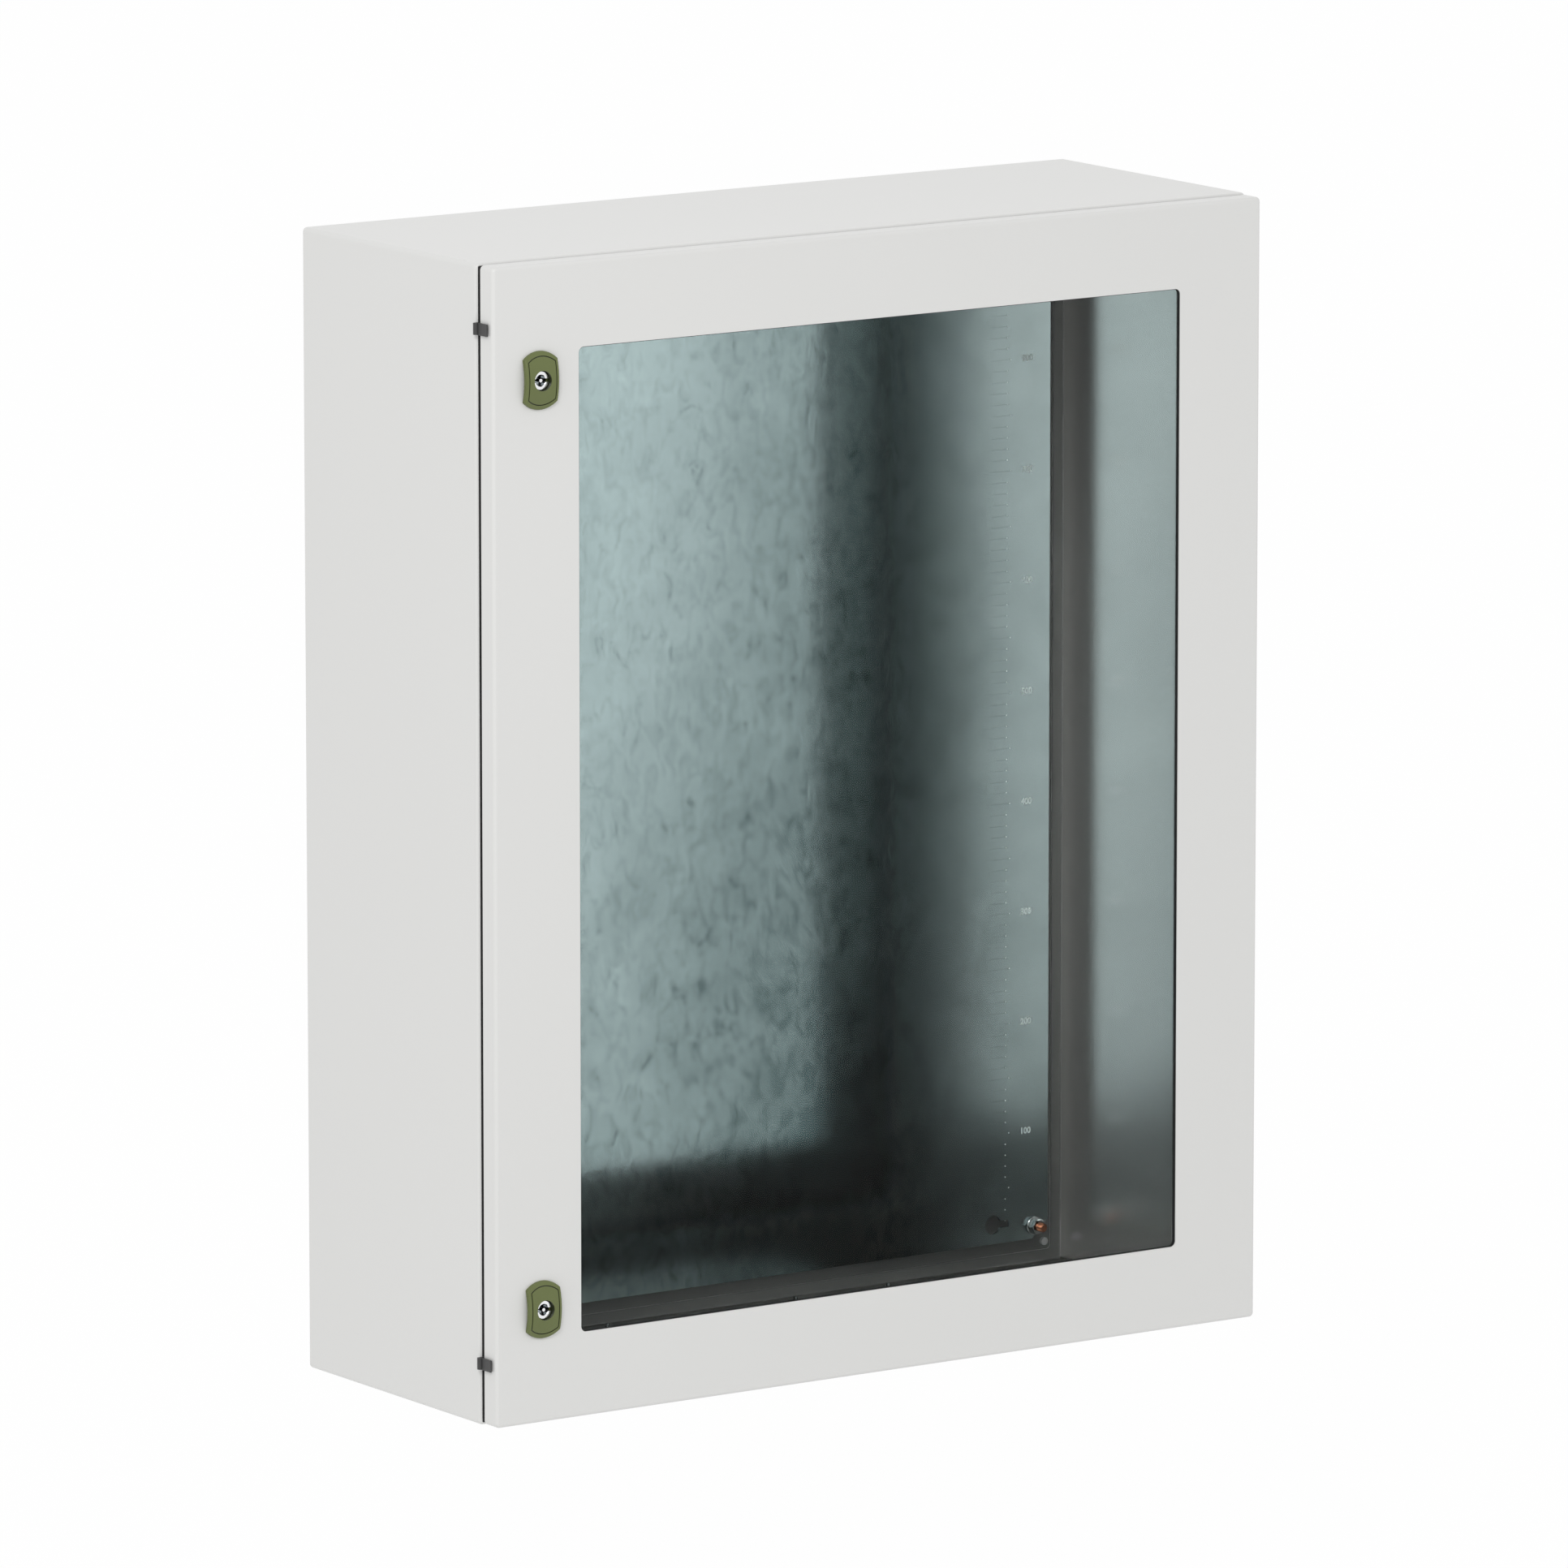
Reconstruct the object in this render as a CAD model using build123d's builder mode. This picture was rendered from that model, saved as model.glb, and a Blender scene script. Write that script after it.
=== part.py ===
from build123d import *
from math import hypot, sqrt
import os

# Wall-mounted electrical enclosure. A welded sheet steel cabinet holds a mounting plate on four studs,
# and a glazed door hangs on two pin hinges at the right and closes with two quarter-turn locks at the left.
# The origin lies on the wall at the centre of the fixing holes: +X right, +Y into the wall, +Z up.
# A value named "..._out" is a distance from the wall towards the front, along -Y.

os.makedirs("parts", exist_ok=True)

# Cabinet sheet metal, millimetres
body_width = 800.0
body_height = 1000.0
closed_depth = 300.0
body_sheet = 1.5
rear_sheet = 1.5
corner_r = 4.0
fold_r = 3.0
rear_flange = 12.0
rear_weld_margin = 2.0
rim_width = 18.0
rim_lip = 14.0
lip_corner_r = 6.0

# Door sheet metal
door_sheet = 2.0
door_depth = 19.0
door_gap = 5.0
door_inset = 1.2
window_stile = 87.5
window_rail = 75.0
window_corner_r = 5.0

# Glazing
glass_sheet = 4.0
glass_overlap = 8.0
glass_corner_r = 3.0
window_seal_sheet = 2.0
window_lip_sheet = 0.5
window_lip_setback = 0.6
clamp_sheet = 1.5
clamp_glass_grip = 6.0
clamp_edge_air = 1.0
clamp_foot = 12.0
clamp_end_air = 1.0
clamp_stud_length = 10.0
clamp_stud_end_inset = 58.0
clamp_side_studs = 4
clamp_cross_studs = 3

# Door seal
door_seal_width = 14.0
door_seal_air = 0.2
door_seal_r = 2.5

# Mounting plate and its fixings
plate_side_margin = 27.5
plate_end_margin = 27.5
plate_sheet = 2.5
plate_standoff = 16.0
plate_corner_cut = 17.0
stud_edge_x = 14.5
stud_edge_z = 12.0
keyhole_edge_x = 59.5
keyhole_edge_z = 17.5
keyhole_r = 8.5
keyhole_slot_width = 6.4
keyhole_slot_reach = 17.5
stud_r = 4.0
stud_past_nut = 7.5
spacer_r = 8.0
washer_r = 8.5
washer_sheet = 1.6
nut_flats = 13.0
nut_thickness = 6.5
nut_crown_share = 0.056
washer_edge_cut = 0.3

# Rear wall holes and plugs
wall_hole_r = 4.5
plug_inset = 19.5
plug_stem_r = 2.5
plug_cap_r = 3.5
plug_cap_height = 3.0

# Cable entry in the floor
gland_screw_pitch = 100.0
gland_row_spacing = 210.0
gland_row_from_wall = 18.0
gland_screw_edge_x = 15.0
gland_screw_edge_y = 10.0
gland_cut_margin = 12.0
gland_cut_r = 5.0
gland_gasket_sheet = 2.0
gland_plate_sheet = 2.5
gland_plate_r = 4.0
gland_screw_tail = 4.0

# Small countersunk screws and their nuts
screw_r = 2.0
screw_head_r = 3.75
small_nut_flats = 7.0
small_nut_thickness = 3.2
small_screw_tail = 1.0

# Hinges and the covers of the unused hinge places
hinge_end_inset = 54.8
hinge_height = 50.0
hinge_axis_side = 2.0
hinge_edge_gap = 1.5
hinge_clearance = 0.33
hinge_pin_r = 2.0
pin_head_height = 2.5
pin_head_edge_r = 0.8
pin_tail = 1.0
knuckle_share = 0.4
knuckle_end_air = 0.2
frame_leaf_air = 2.6
frame_leaf_reach = 14.0
door_leaf_sheet = 2.0
door_leaf_reach = 13.5
leaf_screw_spacing = 34.0
clip_rib_r = 2.5
clip_rib_side = 1.7
clip_rib_height = 10.0
clip_tab_sheet = 1.4
clip_tab_air = 1.3
clip_tab_reach = 13.7
clip_tab_height = 10.4
clip_edge_r = 0.4
clip_tongue_sheet = 2.0
clip_tongue_reach = 13.0
clip_peg_r = 2.0
clip_peg_inset = 9.0
clip_peg_length = 5.0

# Locks
lock_end_inset = 100.0
lock_rail_gap = 17.7
escutcheon_width = 33.0
escutcheon_height = 50.2
escutcheon_corner_z = 18.1
escutcheon_thickness = 7.0
escutcheon_crown_r = 65.0
escutcheon_arch_rise = 2.7
escutcheon_seat_r = 12.0
escutcheon_edge_r = 1.4
groove_side_inset = 2.5
groove_end_inset = 3.8
groove_width = 0.9
groove_depth = 0.7
key_hole_r = 8.65
lock_boss_r = 10.0
lock_boss_length = 16.0
lock_nut_flats = 24.0
lock_nut_thickness = 5.0
core_head_r = 8.1
core_recess = 3.9
core_shaft_r = 7.0
core_socket_r = 4.8
core_socket_depth = 12.0
core_slot_height = 3.1
core_pin_r = 1.5
core_pin_setback = 0.1
core_edge_cut = 0.4
cam_square = 8.0
cam_sheet = 3.0
cam_rim_air = 1.0
cam_side_gap = 8.0
cam_width = 16.0
cam_hub_r = 11.0
cam_tip_r = 3.0
cam_screw_head_r = 6.0
cam_screw_head_height = 3.0
cam_screw_r = 2.5
cam_screw_length = 12.0

# Earth studs
earth_stud_length = 22.0
earth_flange_r = 8.5
earth_flange_sheet = 1.6
cabinet_earth_side_inset = 30.0
cabinet_earth_rim_inset = 26.0
door_earth_side_inset = 48.0
door_earth_base_inset = 46.0

# Running fits
running_air = 0.05
hole_air = 0.2

# Places that follow from the sizes above
half_width = body_width / 2
half_height = body_height / 2
floor_top = -half_height + body_sheet
rim_out = closed_depth - door_depth - door_gap
rim_back_out = rim_out - body_sheet
lip_end_out = rim_out + rim_lip
door_back_out = closed_depth - door_depth
door_inner_out = closed_depth - door_sheet
door_width = body_width - 2 * door_inset
door_height = body_height - 2 * door_inset
door_half_width = door_width / 2
aperture_width = body_width - 2 * rim_width
aperture_height = body_height - 2 * rim_width
plate_width = body_width - 2 * plate_side_margin
plate_height = body_height - 2 * plate_end_margin
plate_back_out = rear_sheet + plate_standoff
plate_front_out = plate_back_out + plate_sheet
wall_pitch_x = plate_width - 2 * keyhole_edge_x
wall_pitch_z = plate_height - 2 * keyhole_edge_z
stud_pitch_x = plate_width - 2 * stud_edge_x
stud_pitch_z = plate_height - 2 * stud_edge_z
plug_pitch_x = body_width - 2 * plug_inset
plug_pitch_z = body_height - 2 * plug_inset
screw_head_height = screw_head_r - screw_r


def out_plane(distance):
    """Plane facing the front, at this distance from the wall, with X right and Z up."""
    return Plane.XZ.offset(distance)


def add_block(width, height, radius, start_out, end_out, mode=Mode.ADD):
    """Add or cut a rounded rectangular block between two distances from the wall."""
    with BuildSketch(out_plane(start_out)) as outline:
        RectangleRounded(width, height, radius)
    extrude(outline.sketch, amount=end_out - start_out, mode=mode)


def add_rounds(plane, radius, length, spots, mode=Mode.ADD):
    """Add or cut round bars that start on a plane and run along its normal."""
    with BuildSketch(plane) as rounds:
        with Locations(*spots):
            Circle(radius)
    extrude(rounds.sketch, amount=length, mode=mode)


def add_hexagons(plane, flats, thickness, bore_r, spots):
    """Add hexagon nuts with turned corners and a plain bore, standing on a plane."""
    corner_r = flats / sqrt(3)
    crown = nut_crown_share * flats
    with BuildPart(mode=Mode.PRIVATE) as nuts:
        add_rounds(plane.offset(crown), corner_r, thickness - 2 * crown, spots)
        for level, rise in ((crown, -crown), (thickness - crown, crown)):
            with BuildSketch(plane.offset(level)) as crowns:
                with Locations(*spots):
                    Circle(corner_r)
            extrude(crowns.sketch, amount=rise, taper=60)
        with BuildSketch(plane) as hexagons:
            with Locations(*spots):
                RegularPolygon(flats / 2, 6, major_radius=False)
                Circle(bore_r, mode=Mode.SUBTRACT)
        extrude(hexagons.sketch, amount=thickness, mode=Mode.INTERSECT)
    add(nuts.part)


def add_screws(head_plane, length, spots, air=0.0, mode=Mode.ADD):
    """Add countersunk screws with heads flush in a plane, or cut their holes with some air."""
    with BuildSketch(head_plane) as heads:
        with Locations(*spots):
            Circle(screw_head_r + air)
    extrude(heads.sketch, amount=-screw_head_height, taper=45, mode=mode)
    with BuildSketch(head_plane) as shanks:
        with Locations(*spots):
            Circle(screw_r + air)
    extrude(shanks.sketch, amount=-length, mode=mode)


def corner_spots(pitch_x, pitch_z):
    """Four points on a rectangle centred on the origin."""
    return [(sx * pitch_x / 2, sz * pitch_z / 2) for sx in (-1, 1) for sz in (-1, 1)]


# Hinge places that the cabinet and the door share
hinge_z = half_height - hinge_end_inset
hinge_axis_x = half_width + hinge_axis_side
hinge_axis_out = door_back_out - hinge_edge_gap
knuckle_r = hypot(hinge_axis_side + door_inset, hinge_edge_gap) - hinge_clearance
frame_leaf_sheet = door_gap - frame_leaf_air
frame_leaf_front_out = rim_out + frame_leaf_sheet
frame_leaf_screw_x = half_width - frame_leaf_reach / 2 - screw_r
door_leaf_start_out = hinge_axis_out + knuckle_r + hinge_clearance
door_leaf_end_out = door_back_out + door_leaf_reach
door_leaf_screw_out = (door_leaf_start_out + door_leaf_end_out) / 2
door_leaf_face_x = door_half_width + door_leaf_sheet
leaf_screw_zs = [sz * hinge_z + ss * leaf_screw_spacing / 2 for sz in (1, -1) for ss in (1, -1)]
frame_leaf_spots = [(frame_leaf_screw_x, z) for z in leaf_screw_zs]
door_leaf_spots = [(-door_leaf_screw_out, z) for z in leaf_screw_zs]
clip_rib_out = (rim_out + door_back_out) / 2
clip_peg_spots = [(-half_width + clip_peg_inset, sz * hinge_z) for sz in (1, -1)]

# Cable entry places, in the floor plane with X right and Y into the wall
gland_screw_xs = [-2 * gland_screw_pitch, -gland_screw_pitch, gland_screw_pitch, 2 * gland_screw_pitch]
gland_row_ys = [-gland_row_from_wall, -gland_row_from_wall - gland_row_spacing]
gland_spots = [(x, y) for x in gland_screw_xs for y in gland_row_ys]
gland_centre_y = -gland_row_from_wall - gland_row_spacing / 2
gland_cut_width = 4 * gland_screw_pitch
gland_cut_depth = gland_row_spacing - 2 * gland_cut_margin
gland_plate_width = gland_cut_width + 2 * gland_screw_edge_x
gland_plate_depth = gland_row_spacing + 2 * gland_screw_edge_y
gland_plate_bottom = -half_height - gland_gasket_sheet - gland_plate_sheet

# Hollow of the cabinet, with the inner radii of the folds
with BuildPart() as cabinet_hollow:
    add_block(
        body_width - 2 * body_sheet, body_height - 2 * body_sheet, corner_r - body_sheet,
        rear_sheet + body_sheet, rim_back_out,
    )
    fillet(cabinet_hollow.faces().filter_by(Axis.Y).edges(), fold_r - body_sheet)

# Body shell: sides, top and floor in one wrap, with a rear flange and a rim that ends in a forward lip
with BuildPart() as body_shell:
    add_block(body_width, body_height, corner_r, rear_sheet, rim_out)
    fillet(body_shell.faces().filter_by(Axis.Y).edges(), fold_r)
    add(cabinet_hollow.part, mode=Mode.SUBTRACT)
    add_block(
        body_width - 2 * rear_flange, body_height - 2 * rear_flange, corner_r,
        rear_sheet, rear_sheet + body_sheet, mode=Mode.SUBTRACT,
    )
    add_block(
        aperture_width + 2 * body_sheet, aperture_height + 2 * body_sheet, lip_corner_r,
        rim_back_out, lip_end_out,
    )
    add_block(
        aperture_width, aperture_height, lip_corner_r - body_sheet,
        rim_back_out, lip_end_out, mode=Mode.SUBTRACT,
    )
    with BuildSketch(Plane.XY.offset(-half_height)):
        with Locations((0, gland_centre_y)):
            RectangleRounded(gland_cut_width, gland_cut_depth, gland_cut_r)
        with Locations(*gland_spots):
            Circle(screw_r + running_air)
    extrude(amount=body_sheet, mode=Mode.SUBTRACT)
    add_rounds(out_plane(rim_back_out), screw_r + hole_air, body_sheet, frame_leaf_spots, Mode.SUBTRACT)
    add_rounds(out_plane(rim_back_out), clip_peg_r + running_air, body_sheet, clip_peg_spots, Mode.SUBTRACT)
body_shell.part.label = "body_shell"
export_step(body_shell.part, "parts/body_shell.step")

# Rear panel: flat sheet welded on the rear flange, with fixing holes and plugged corner holes
with BuildPart() as rear_panel:
    rear_margin = fold_r + rear_weld_margin
    add_block(body_width - 2 * rear_margin, body_height - 2 * rear_margin, corner_r, 0, rear_sheet)
    wall_spots = corner_spots(wall_pitch_x, wall_pitch_z)
    plug_spots = corner_spots(plug_pitch_x, plug_pitch_z)
    add_rounds(out_plane(0), wall_hole_r, rear_sheet, wall_spots, Mode.SUBTRACT)
    add_rounds(out_plane(0), plug_stem_r + running_air, rear_sheet, plug_spots, Mode.SUBTRACT)
rear_panel.part.label = "rear_panel"
export_step(rear_panel.part, "parts/rear_panel.step")

# Hole plugs: plastic plugs pushed in from inside, flush with the rear face
with BuildPart() as hole_plugs:
    add_rounds(out_plane(0), plug_stem_r, rear_sheet, plug_spots)
    add_rounds(out_plane(rear_sheet), plug_cap_r, plug_cap_height, plug_spots)
hole_plugs.part.label = "hole_plugs"
export_step(hole_plugs.part, "parts/hole_plugs.step")

# Plate studs: copper-plated weld studs on the rear panel
stud_spots = corner_spots(stud_pitch_x, stud_pitch_z)
nut_start_out = plate_front_out + washer_sheet
stud_end_out = nut_start_out + nut_thickness + stud_past_nut
with BuildPart() as plate_studs:
    add_rounds(out_plane(rear_sheet), stud_r, stud_end_out - rear_sheet, stud_spots)
    chamfer(plate_studs.faces().filter_by(Axis.Y).group_by(Axis.Y)[0].edges(), stud_r / 5)
plate_studs.part.label = "plate_studs"
export_step(plate_studs.part, "parts/plate_studs.step")

# Plate spacers: sleeves on the studs that hold the plate off the rear panel
with BuildPart() as plate_spacers:
    add_rounds(out_plane(rear_sheet), spacer_r, plate_standoff, stud_spots)
    add_rounds(out_plane(rear_sheet), stud_r + running_air, plate_standoff, stud_spots, Mode.SUBTRACT)
    chamfer(plate_spacers.edges().filter_by(GeomType.CIRCLE), washer_edge_cut)
plate_spacers.part.label = "plate_spacers"
export_step(plate_spacers.part, "parts/plate_spacers.step")

# Mounting plate: galvanised sheet with cut corners, stud holes and a keyhole near each corner
with BuildPart() as mounting_plate:
    with BuildSketch(out_plane(plate_back_out)) as plate_outline:
        Rectangle(plate_width, plate_height)
        chamfer(plate_outline.vertices(), plate_corner_cut)
        with Locations(*stud_spots):
            Circle(stud_r + hole_air, mode=Mode.SUBTRACT)
        with Locations(*wall_spots):
            Circle(keyhole_r, mode=Mode.SUBTRACT)
        for side in (-1, 1):
            slot_spots = [
                (side * (wall_pitch_x + keyhole_slot_reach) / 2, end * wall_pitch_z / 2) for end in (-1, 1)
            ]
            with Locations(*slot_spots):
                Rectangle(keyhole_slot_reach, keyhole_slot_width, mode=Mode.SUBTRACT)
    extrude(amount=plate_sheet)
mounting_plate.part.label = "mounting_plate"
export_step(mounting_plate.part, "parts/mounting_plate.step")

# Plate washers and nuts: they clamp the plate on its studs
with BuildPart() as plate_washers:
    add_rounds(out_plane(plate_front_out), washer_r, washer_sheet, stud_spots)
    add_rounds(out_plane(plate_front_out), stud_r + hole_air, washer_sheet, stud_spots, Mode.SUBTRACT)
    chamfer(plate_washers.edges().filter_by(GeomType.CIRCLE), washer_edge_cut)
plate_washers.part.label = "plate_washers"
export_step(plate_washers.part, "parts/plate_washers.step")

with BuildPart() as plate_nuts:
    add_hexagons(out_plane(nut_start_out), nut_flats, nut_thickness, stud_r + running_air, stud_spots)
plate_nuts.part.label = "plate_nuts"
export_step(plate_nuts.part, "parts/plate_nuts.step")

# Gland gasket: flat frame between the floor and the gland plate
with BuildPart() as gland_gasket:
    with BuildSketch(Plane.XY.offset(-half_height - gland_gasket_sheet)):
        with Locations((0, gland_centre_y)):
            RectangleRounded(gland_plate_width, gland_plate_depth, gland_plate_r)
            RectangleRounded(gland_cut_width, gland_cut_depth, gland_cut_r, mode=Mode.SUBTRACT)
        with Locations(*gland_spots):
            Circle(screw_r + hole_air, mode=Mode.SUBTRACT)
    extrude(amount=gland_gasket_sheet)
gland_gasket.part.label = "gland_gasket"
export_step(gland_gasket.part, "parts/gland_gasket.step")

# Gland plate: blank sheet under the floor, cut by the fitter for the cable glands
gland_head_plane = Plane(origin=(0, 0, gland_plate_bottom), x_dir=(1, 0, 0), z_dir=(0, 0, -1))
gland_head_spots = [(x, -y) for x, y in gland_spots]
with BuildPart() as gland_plate:
    with BuildSketch(Plane.XY.offset(gland_plate_bottom)):
        with Locations((0, gland_centre_y)):
            RectangleRounded(gland_plate_width, gland_plate_depth, gland_plate_r)
    extrude(amount=gland_plate_sheet)
    add_screws(gland_head_plane, gland_plate_sheet, gland_head_spots, running_air, Mode.SUBTRACT)
gland_plate.part.label = "gland_plate"
export_step(gland_plate.part, "parts/gland_plate.step")

# Gland screws: driven from below, with their tails standing up through the floor
gland_screw_length = gland_plate_sheet + gland_gasket_sheet + body_sheet + gland_screw_tail
with BuildPart() as gland_screws:
    add_screws(gland_head_plane, gland_screw_length, gland_head_spots)
gland_screws.part.label = "gland_screws"
export_step(gland_screws.part, "parts/gland_screws.step")

# Cabinet earth stud and its flanged nut, on the floor beside the rim
cabinet_earth_spot = (-half_width + cabinet_earth_side_inset, -rim_out + cabinet_earth_rim_inset)
with BuildPart() as cabinet_earth_stud:
    add_rounds(Plane.XY.offset(floor_top), stud_r, earth_stud_length, [cabinet_earth_spot])
cabinet_earth_stud.part.label = "cabinet_earth_stud"
export_step(cabinet_earth_stud.part, "parts/cabinet_earth_stud.step")

with BuildPart() as cabinet_earth_nut:
    add_hexagons(
        Plane.XY.offset(floor_top), nut_flats, nut_thickness, stud_r + running_air, [cabinet_earth_spot]
    )
    add_rounds(Plane.XY.offset(floor_top), earth_flange_r, earth_flange_sheet, [cabinet_earth_spot])
    add_rounds(
        Plane.XY.offset(floor_top), stud_r + running_air, nut_thickness, [cabinet_earth_spot], Mode.SUBTRACT
    )
cabinet_earth_nut.part.label = "cabinet_earth_nut"
export_step(cabinet_earth_nut.part, "parts/cabinet_earth_nut.step")

# Hinges: a leaf on the cabinet rim with two knuckles, a leaf on the door edge with one, and a lift-out pin
middle_knuckle = hinge_height * knuckle_share
for place, side in (("upper", 1), ("lower", -1)):
    centre_z = side * hinge_z
    hinge_base = Plane.XY.offset(centre_z - hinge_height / 2)
    middle_base = Plane.XY.offset(centre_z - middle_knuckle / 2)
    axis_spot = (hinge_axis_x, -hinge_axis_out)

    with BuildPart() as hinge_frame_leaf:
        with BuildSketch(hinge_base):
            with Locations((hinge_axis_x, -rim_out)):
                Rectangle(
                    frame_leaf_reach + hinge_axis_side, frame_leaf_sheet, align=(Align.MAX, Align.MAX)
                )
            with Locations(axis_spot):
                Circle(knuckle_r)
        extrude(amount=hinge_height)
        with BuildSketch(middle_base):
            with Locations(axis_spot):
                Rectangle(2 * (knuckle_r + hinge_clearance), 4 * knuckle_r)
        extrude(amount=middle_knuckle, mode=Mode.SUBTRACT)
        add_rounds(hinge_base, hinge_pin_r + running_air, hinge_height, [axis_spot], Mode.SUBTRACT)
        frame_screw_spots = [spot for spot in frame_leaf_spots if abs(spot[1] - centre_z) < hinge_height / 2]
        add_screws(
            out_plane(frame_leaf_front_out), frame_leaf_sheet, frame_screw_spots, running_air, Mode.SUBTRACT
        )
    hinge_frame_leaf.part.label = f"hinge_frame_leaf_{place}"
    export_step(hinge_frame_leaf.part, f"parts/hinge_frame_leaf_{place}.step")

    with BuildPart() as hinge_door_leaf:
        with BuildSketch(hinge_base):
            with Locations((door_half_width, -door_leaf_start_out)):
                Rectangle(
                    door_leaf_sheet, door_leaf_end_out - door_leaf_start_out, align=(Align.MIN, Align.MAX)
                )
        extrude(amount=hinge_height)
        with BuildSketch(Plane.XY.offset(centre_z - middle_knuckle / 2 + knuckle_end_air)):
            with Locations(axis_spot):
                Circle(knuckle_r)
            with Locations((door_half_width, -hinge_axis_out)):
                Rectangle(
                    door_leaf_sheet, door_leaf_end_out - hinge_axis_out, align=(Align.MIN, Align.MAX)
                )
        extrude(amount=middle_knuckle - 2 * knuckle_end_air)
        add_rounds(hinge_base, hinge_pin_r + running_air, hinge_height, [axis_spot], Mode.SUBTRACT)
        door_screw_spots = [spot for spot in door_leaf_spots if abs(spot[1] - centre_z) < hinge_height / 2]
        leaf_face = Plane(origin=(door_leaf_face_x, 0, 0), x_dir=(0, 1, 0), z_dir=(1, 0, 0))
        add_screws(leaf_face, door_leaf_sheet, door_screw_spots, running_air, Mode.SUBTRACT)
    hinge_door_leaf.part.label = f"hinge_door_leaf_{place}"
    export_step(hinge_door_leaf.part, f"parts/hinge_door_leaf_{place}.step")

    with BuildPart() as hinge_pin:
        add_rounds(hinge_base.offset(-pin_tail), hinge_pin_r, hinge_height + pin_tail, [axis_spot])
        add_rounds(hinge_base.offset(hinge_height), knuckle_r, pin_head_height, [axis_spot])
        fillet(hinge_pin.faces().sort_by(Axis.Z)[-1].edges(), pin_head_edge_r)
    hinge_pin.part.label = f"hinge_pin_{place}"
    export_step(hinge_pin.part, f"parts/hinge_pin_{place}.step")

    with BuildPart() as blanking_clip:
        with BuildSketch(Plane.XY.offset(centre_z - clip_rib_height / 2)):
            with Locations((-half_width - clip_rib_side, -clip_rib_out)):
                Circle(clip_rib_r)
            with Locations((-half_width - clip_rib_side, -rim_out)):
                Rectangle(
                    clip_tongue_reach + clip_rib_side, clip_tongue_sheet, align=(Align.MIN, Align.MAX)
                )
        extrude(amount=clip_rib_height)
        with BuildSketch(Plane.XY.offset(centre_z - clip_tab_height / 2)):
            with Locations((-door_half_width - clip_tab_air, -clip_rib_out)):
                Rectangle(
                    clip_tab_sheet, door_back_out - clip_rib_out + clip_tab_reach,
                    align=(Align.MAX, Align.MAX),
                )
        extrude(amount=clip_tab_height)
        fillet(blanking_clip.faces().sort_by(Axis.Y)[0].edges(), clip_edge_r)
        clip_peg_spot = [(-half_width + clip_peg_inset, centre_z)]
        add_rounds(out_plane(rim_out - clip_peg_length), clip_peg_r, clip_peg_length, clip_peg_spot)
    blanking_clip.part.label = f"blanking_clip_{place}"
    export_step(blanking_clip.part, f"parts/blanking_clip_{place}.step")

# Screws and nuts of the hinge leaves
with BuildPart() as frame_leaf_screws:
    frame_screw_length = frame_leaf_sheet + body_sheet + small_nut_thickness + small_screw_tail
    add_screws(out_plane(frame_leaf_front_out), frame_screw_length, frame_leaf_spots)
frame_leaf_screws.part.label = "frame_leaf_screws"
export_step(frame_leaf_screws.part, "parts/frame_leaf_screws.step")

with BuildPart() as frame_leaf_nuts:
    add_hexagons(
        out_plane(rim_back_out - small_nut_thickness), small_nut_flats, small_nut_thickness,
        screw_r + running_air, frame_leaf_spots,
    )
frame_leaf_nuts.part.label = "frame_leaf_nuts"
export_step(frame_leaf_nuts.part, "parts/frame_leaf_nuts.step")

with BuildPart() as door_leaf_screws:
    door_screw_length = door_leaf_sheet + door_sheet + small_nut_thickness + small_screw_tail
    add_screws(leaf_face, door_screw_length, door_leaf_spots)
door_leaf_screws.part.label = "door_leaf_screws"
export_step(door_leaf_screws.part, "parts/door_leaf_screws.step")

rim_inner_face = leaf_face.offset(-door_leaf_sheet - door_sheet)
with BuildPart() as door_leaf_nuts:
    add_hexagons(
        rim_inner_face.offset(-small_nut_thickness), small_nut_flats, small_nut_thickness,
        screw_r + running_air, door_leaf_spots,
    )
door_leaf_nuts.part.label = "door_leaf_nuts"
export_step(door_leaf_nuts.part, "parts/door_leaf_nuts.step")

# Glazing places
window_width = body_width - 2 * window_stile
window_height = body_height - 2 * window_rail
glass_width = window_width + 2 * glass_overlap
glass_height = window_height + 2 * glass_overlap
glass_front_out = door_inner_out - window_seal_sheet
glass_back_out = glass_front_out - glass_sheet
clamp_foot_start = glass_overlap + clamp_edge_air + clamp_sheet
clamp_reach = clamp_foot_start + clamp_foot
lock_x = -half_width + window_stile - clamp_reach - lock_rail_gap
lock_z = half_height - lock_end_inset
lock_spots = [(lock_x, sz * lock_z) for sz in (1, -1)]

# Door panel: folded tray with the window cut-out and two lock holes
with BuildPart() as door_hollow:
    add_block(
        door_width - 2 * door_sheet, door_height - 2 * door_sheet, corner_r - door_sheet,
        door_back_out, door_inner_out,
    )
    fillet(door_hollow.faces().sort_by(Axis.Y)[0].edges(), fold_r - door_sheet)

with BuildPart() as door_panel:
    add_block(door_width, door_height, corner_r, door_back_out, closed_depth)
    fillet(door_panel.faces().sort_by(Axis.Y)[0].edges(), fold_r)
    add(door_hollow.part, mode=Mode.SUBTRACT)
    add_block(
        window_width, window_height, window_corner_r, door_inner_out, closed_depth, mode=Mode.SUBTRACT
    )
    add_rounds(out_plane(door_inner_out), lock_boss_r + hole_air, door_sheet, lock_spots, Mode.SUBTRACT)
    add_rounds(rim_inner_face, screw_r + hole_air, door_sheet, door_leaf_spots, Mode.SUBTRACT)
door_panel.part.label = "door_panel"
export_step(door_panel.part, "parts/door_panel.step")

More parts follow.
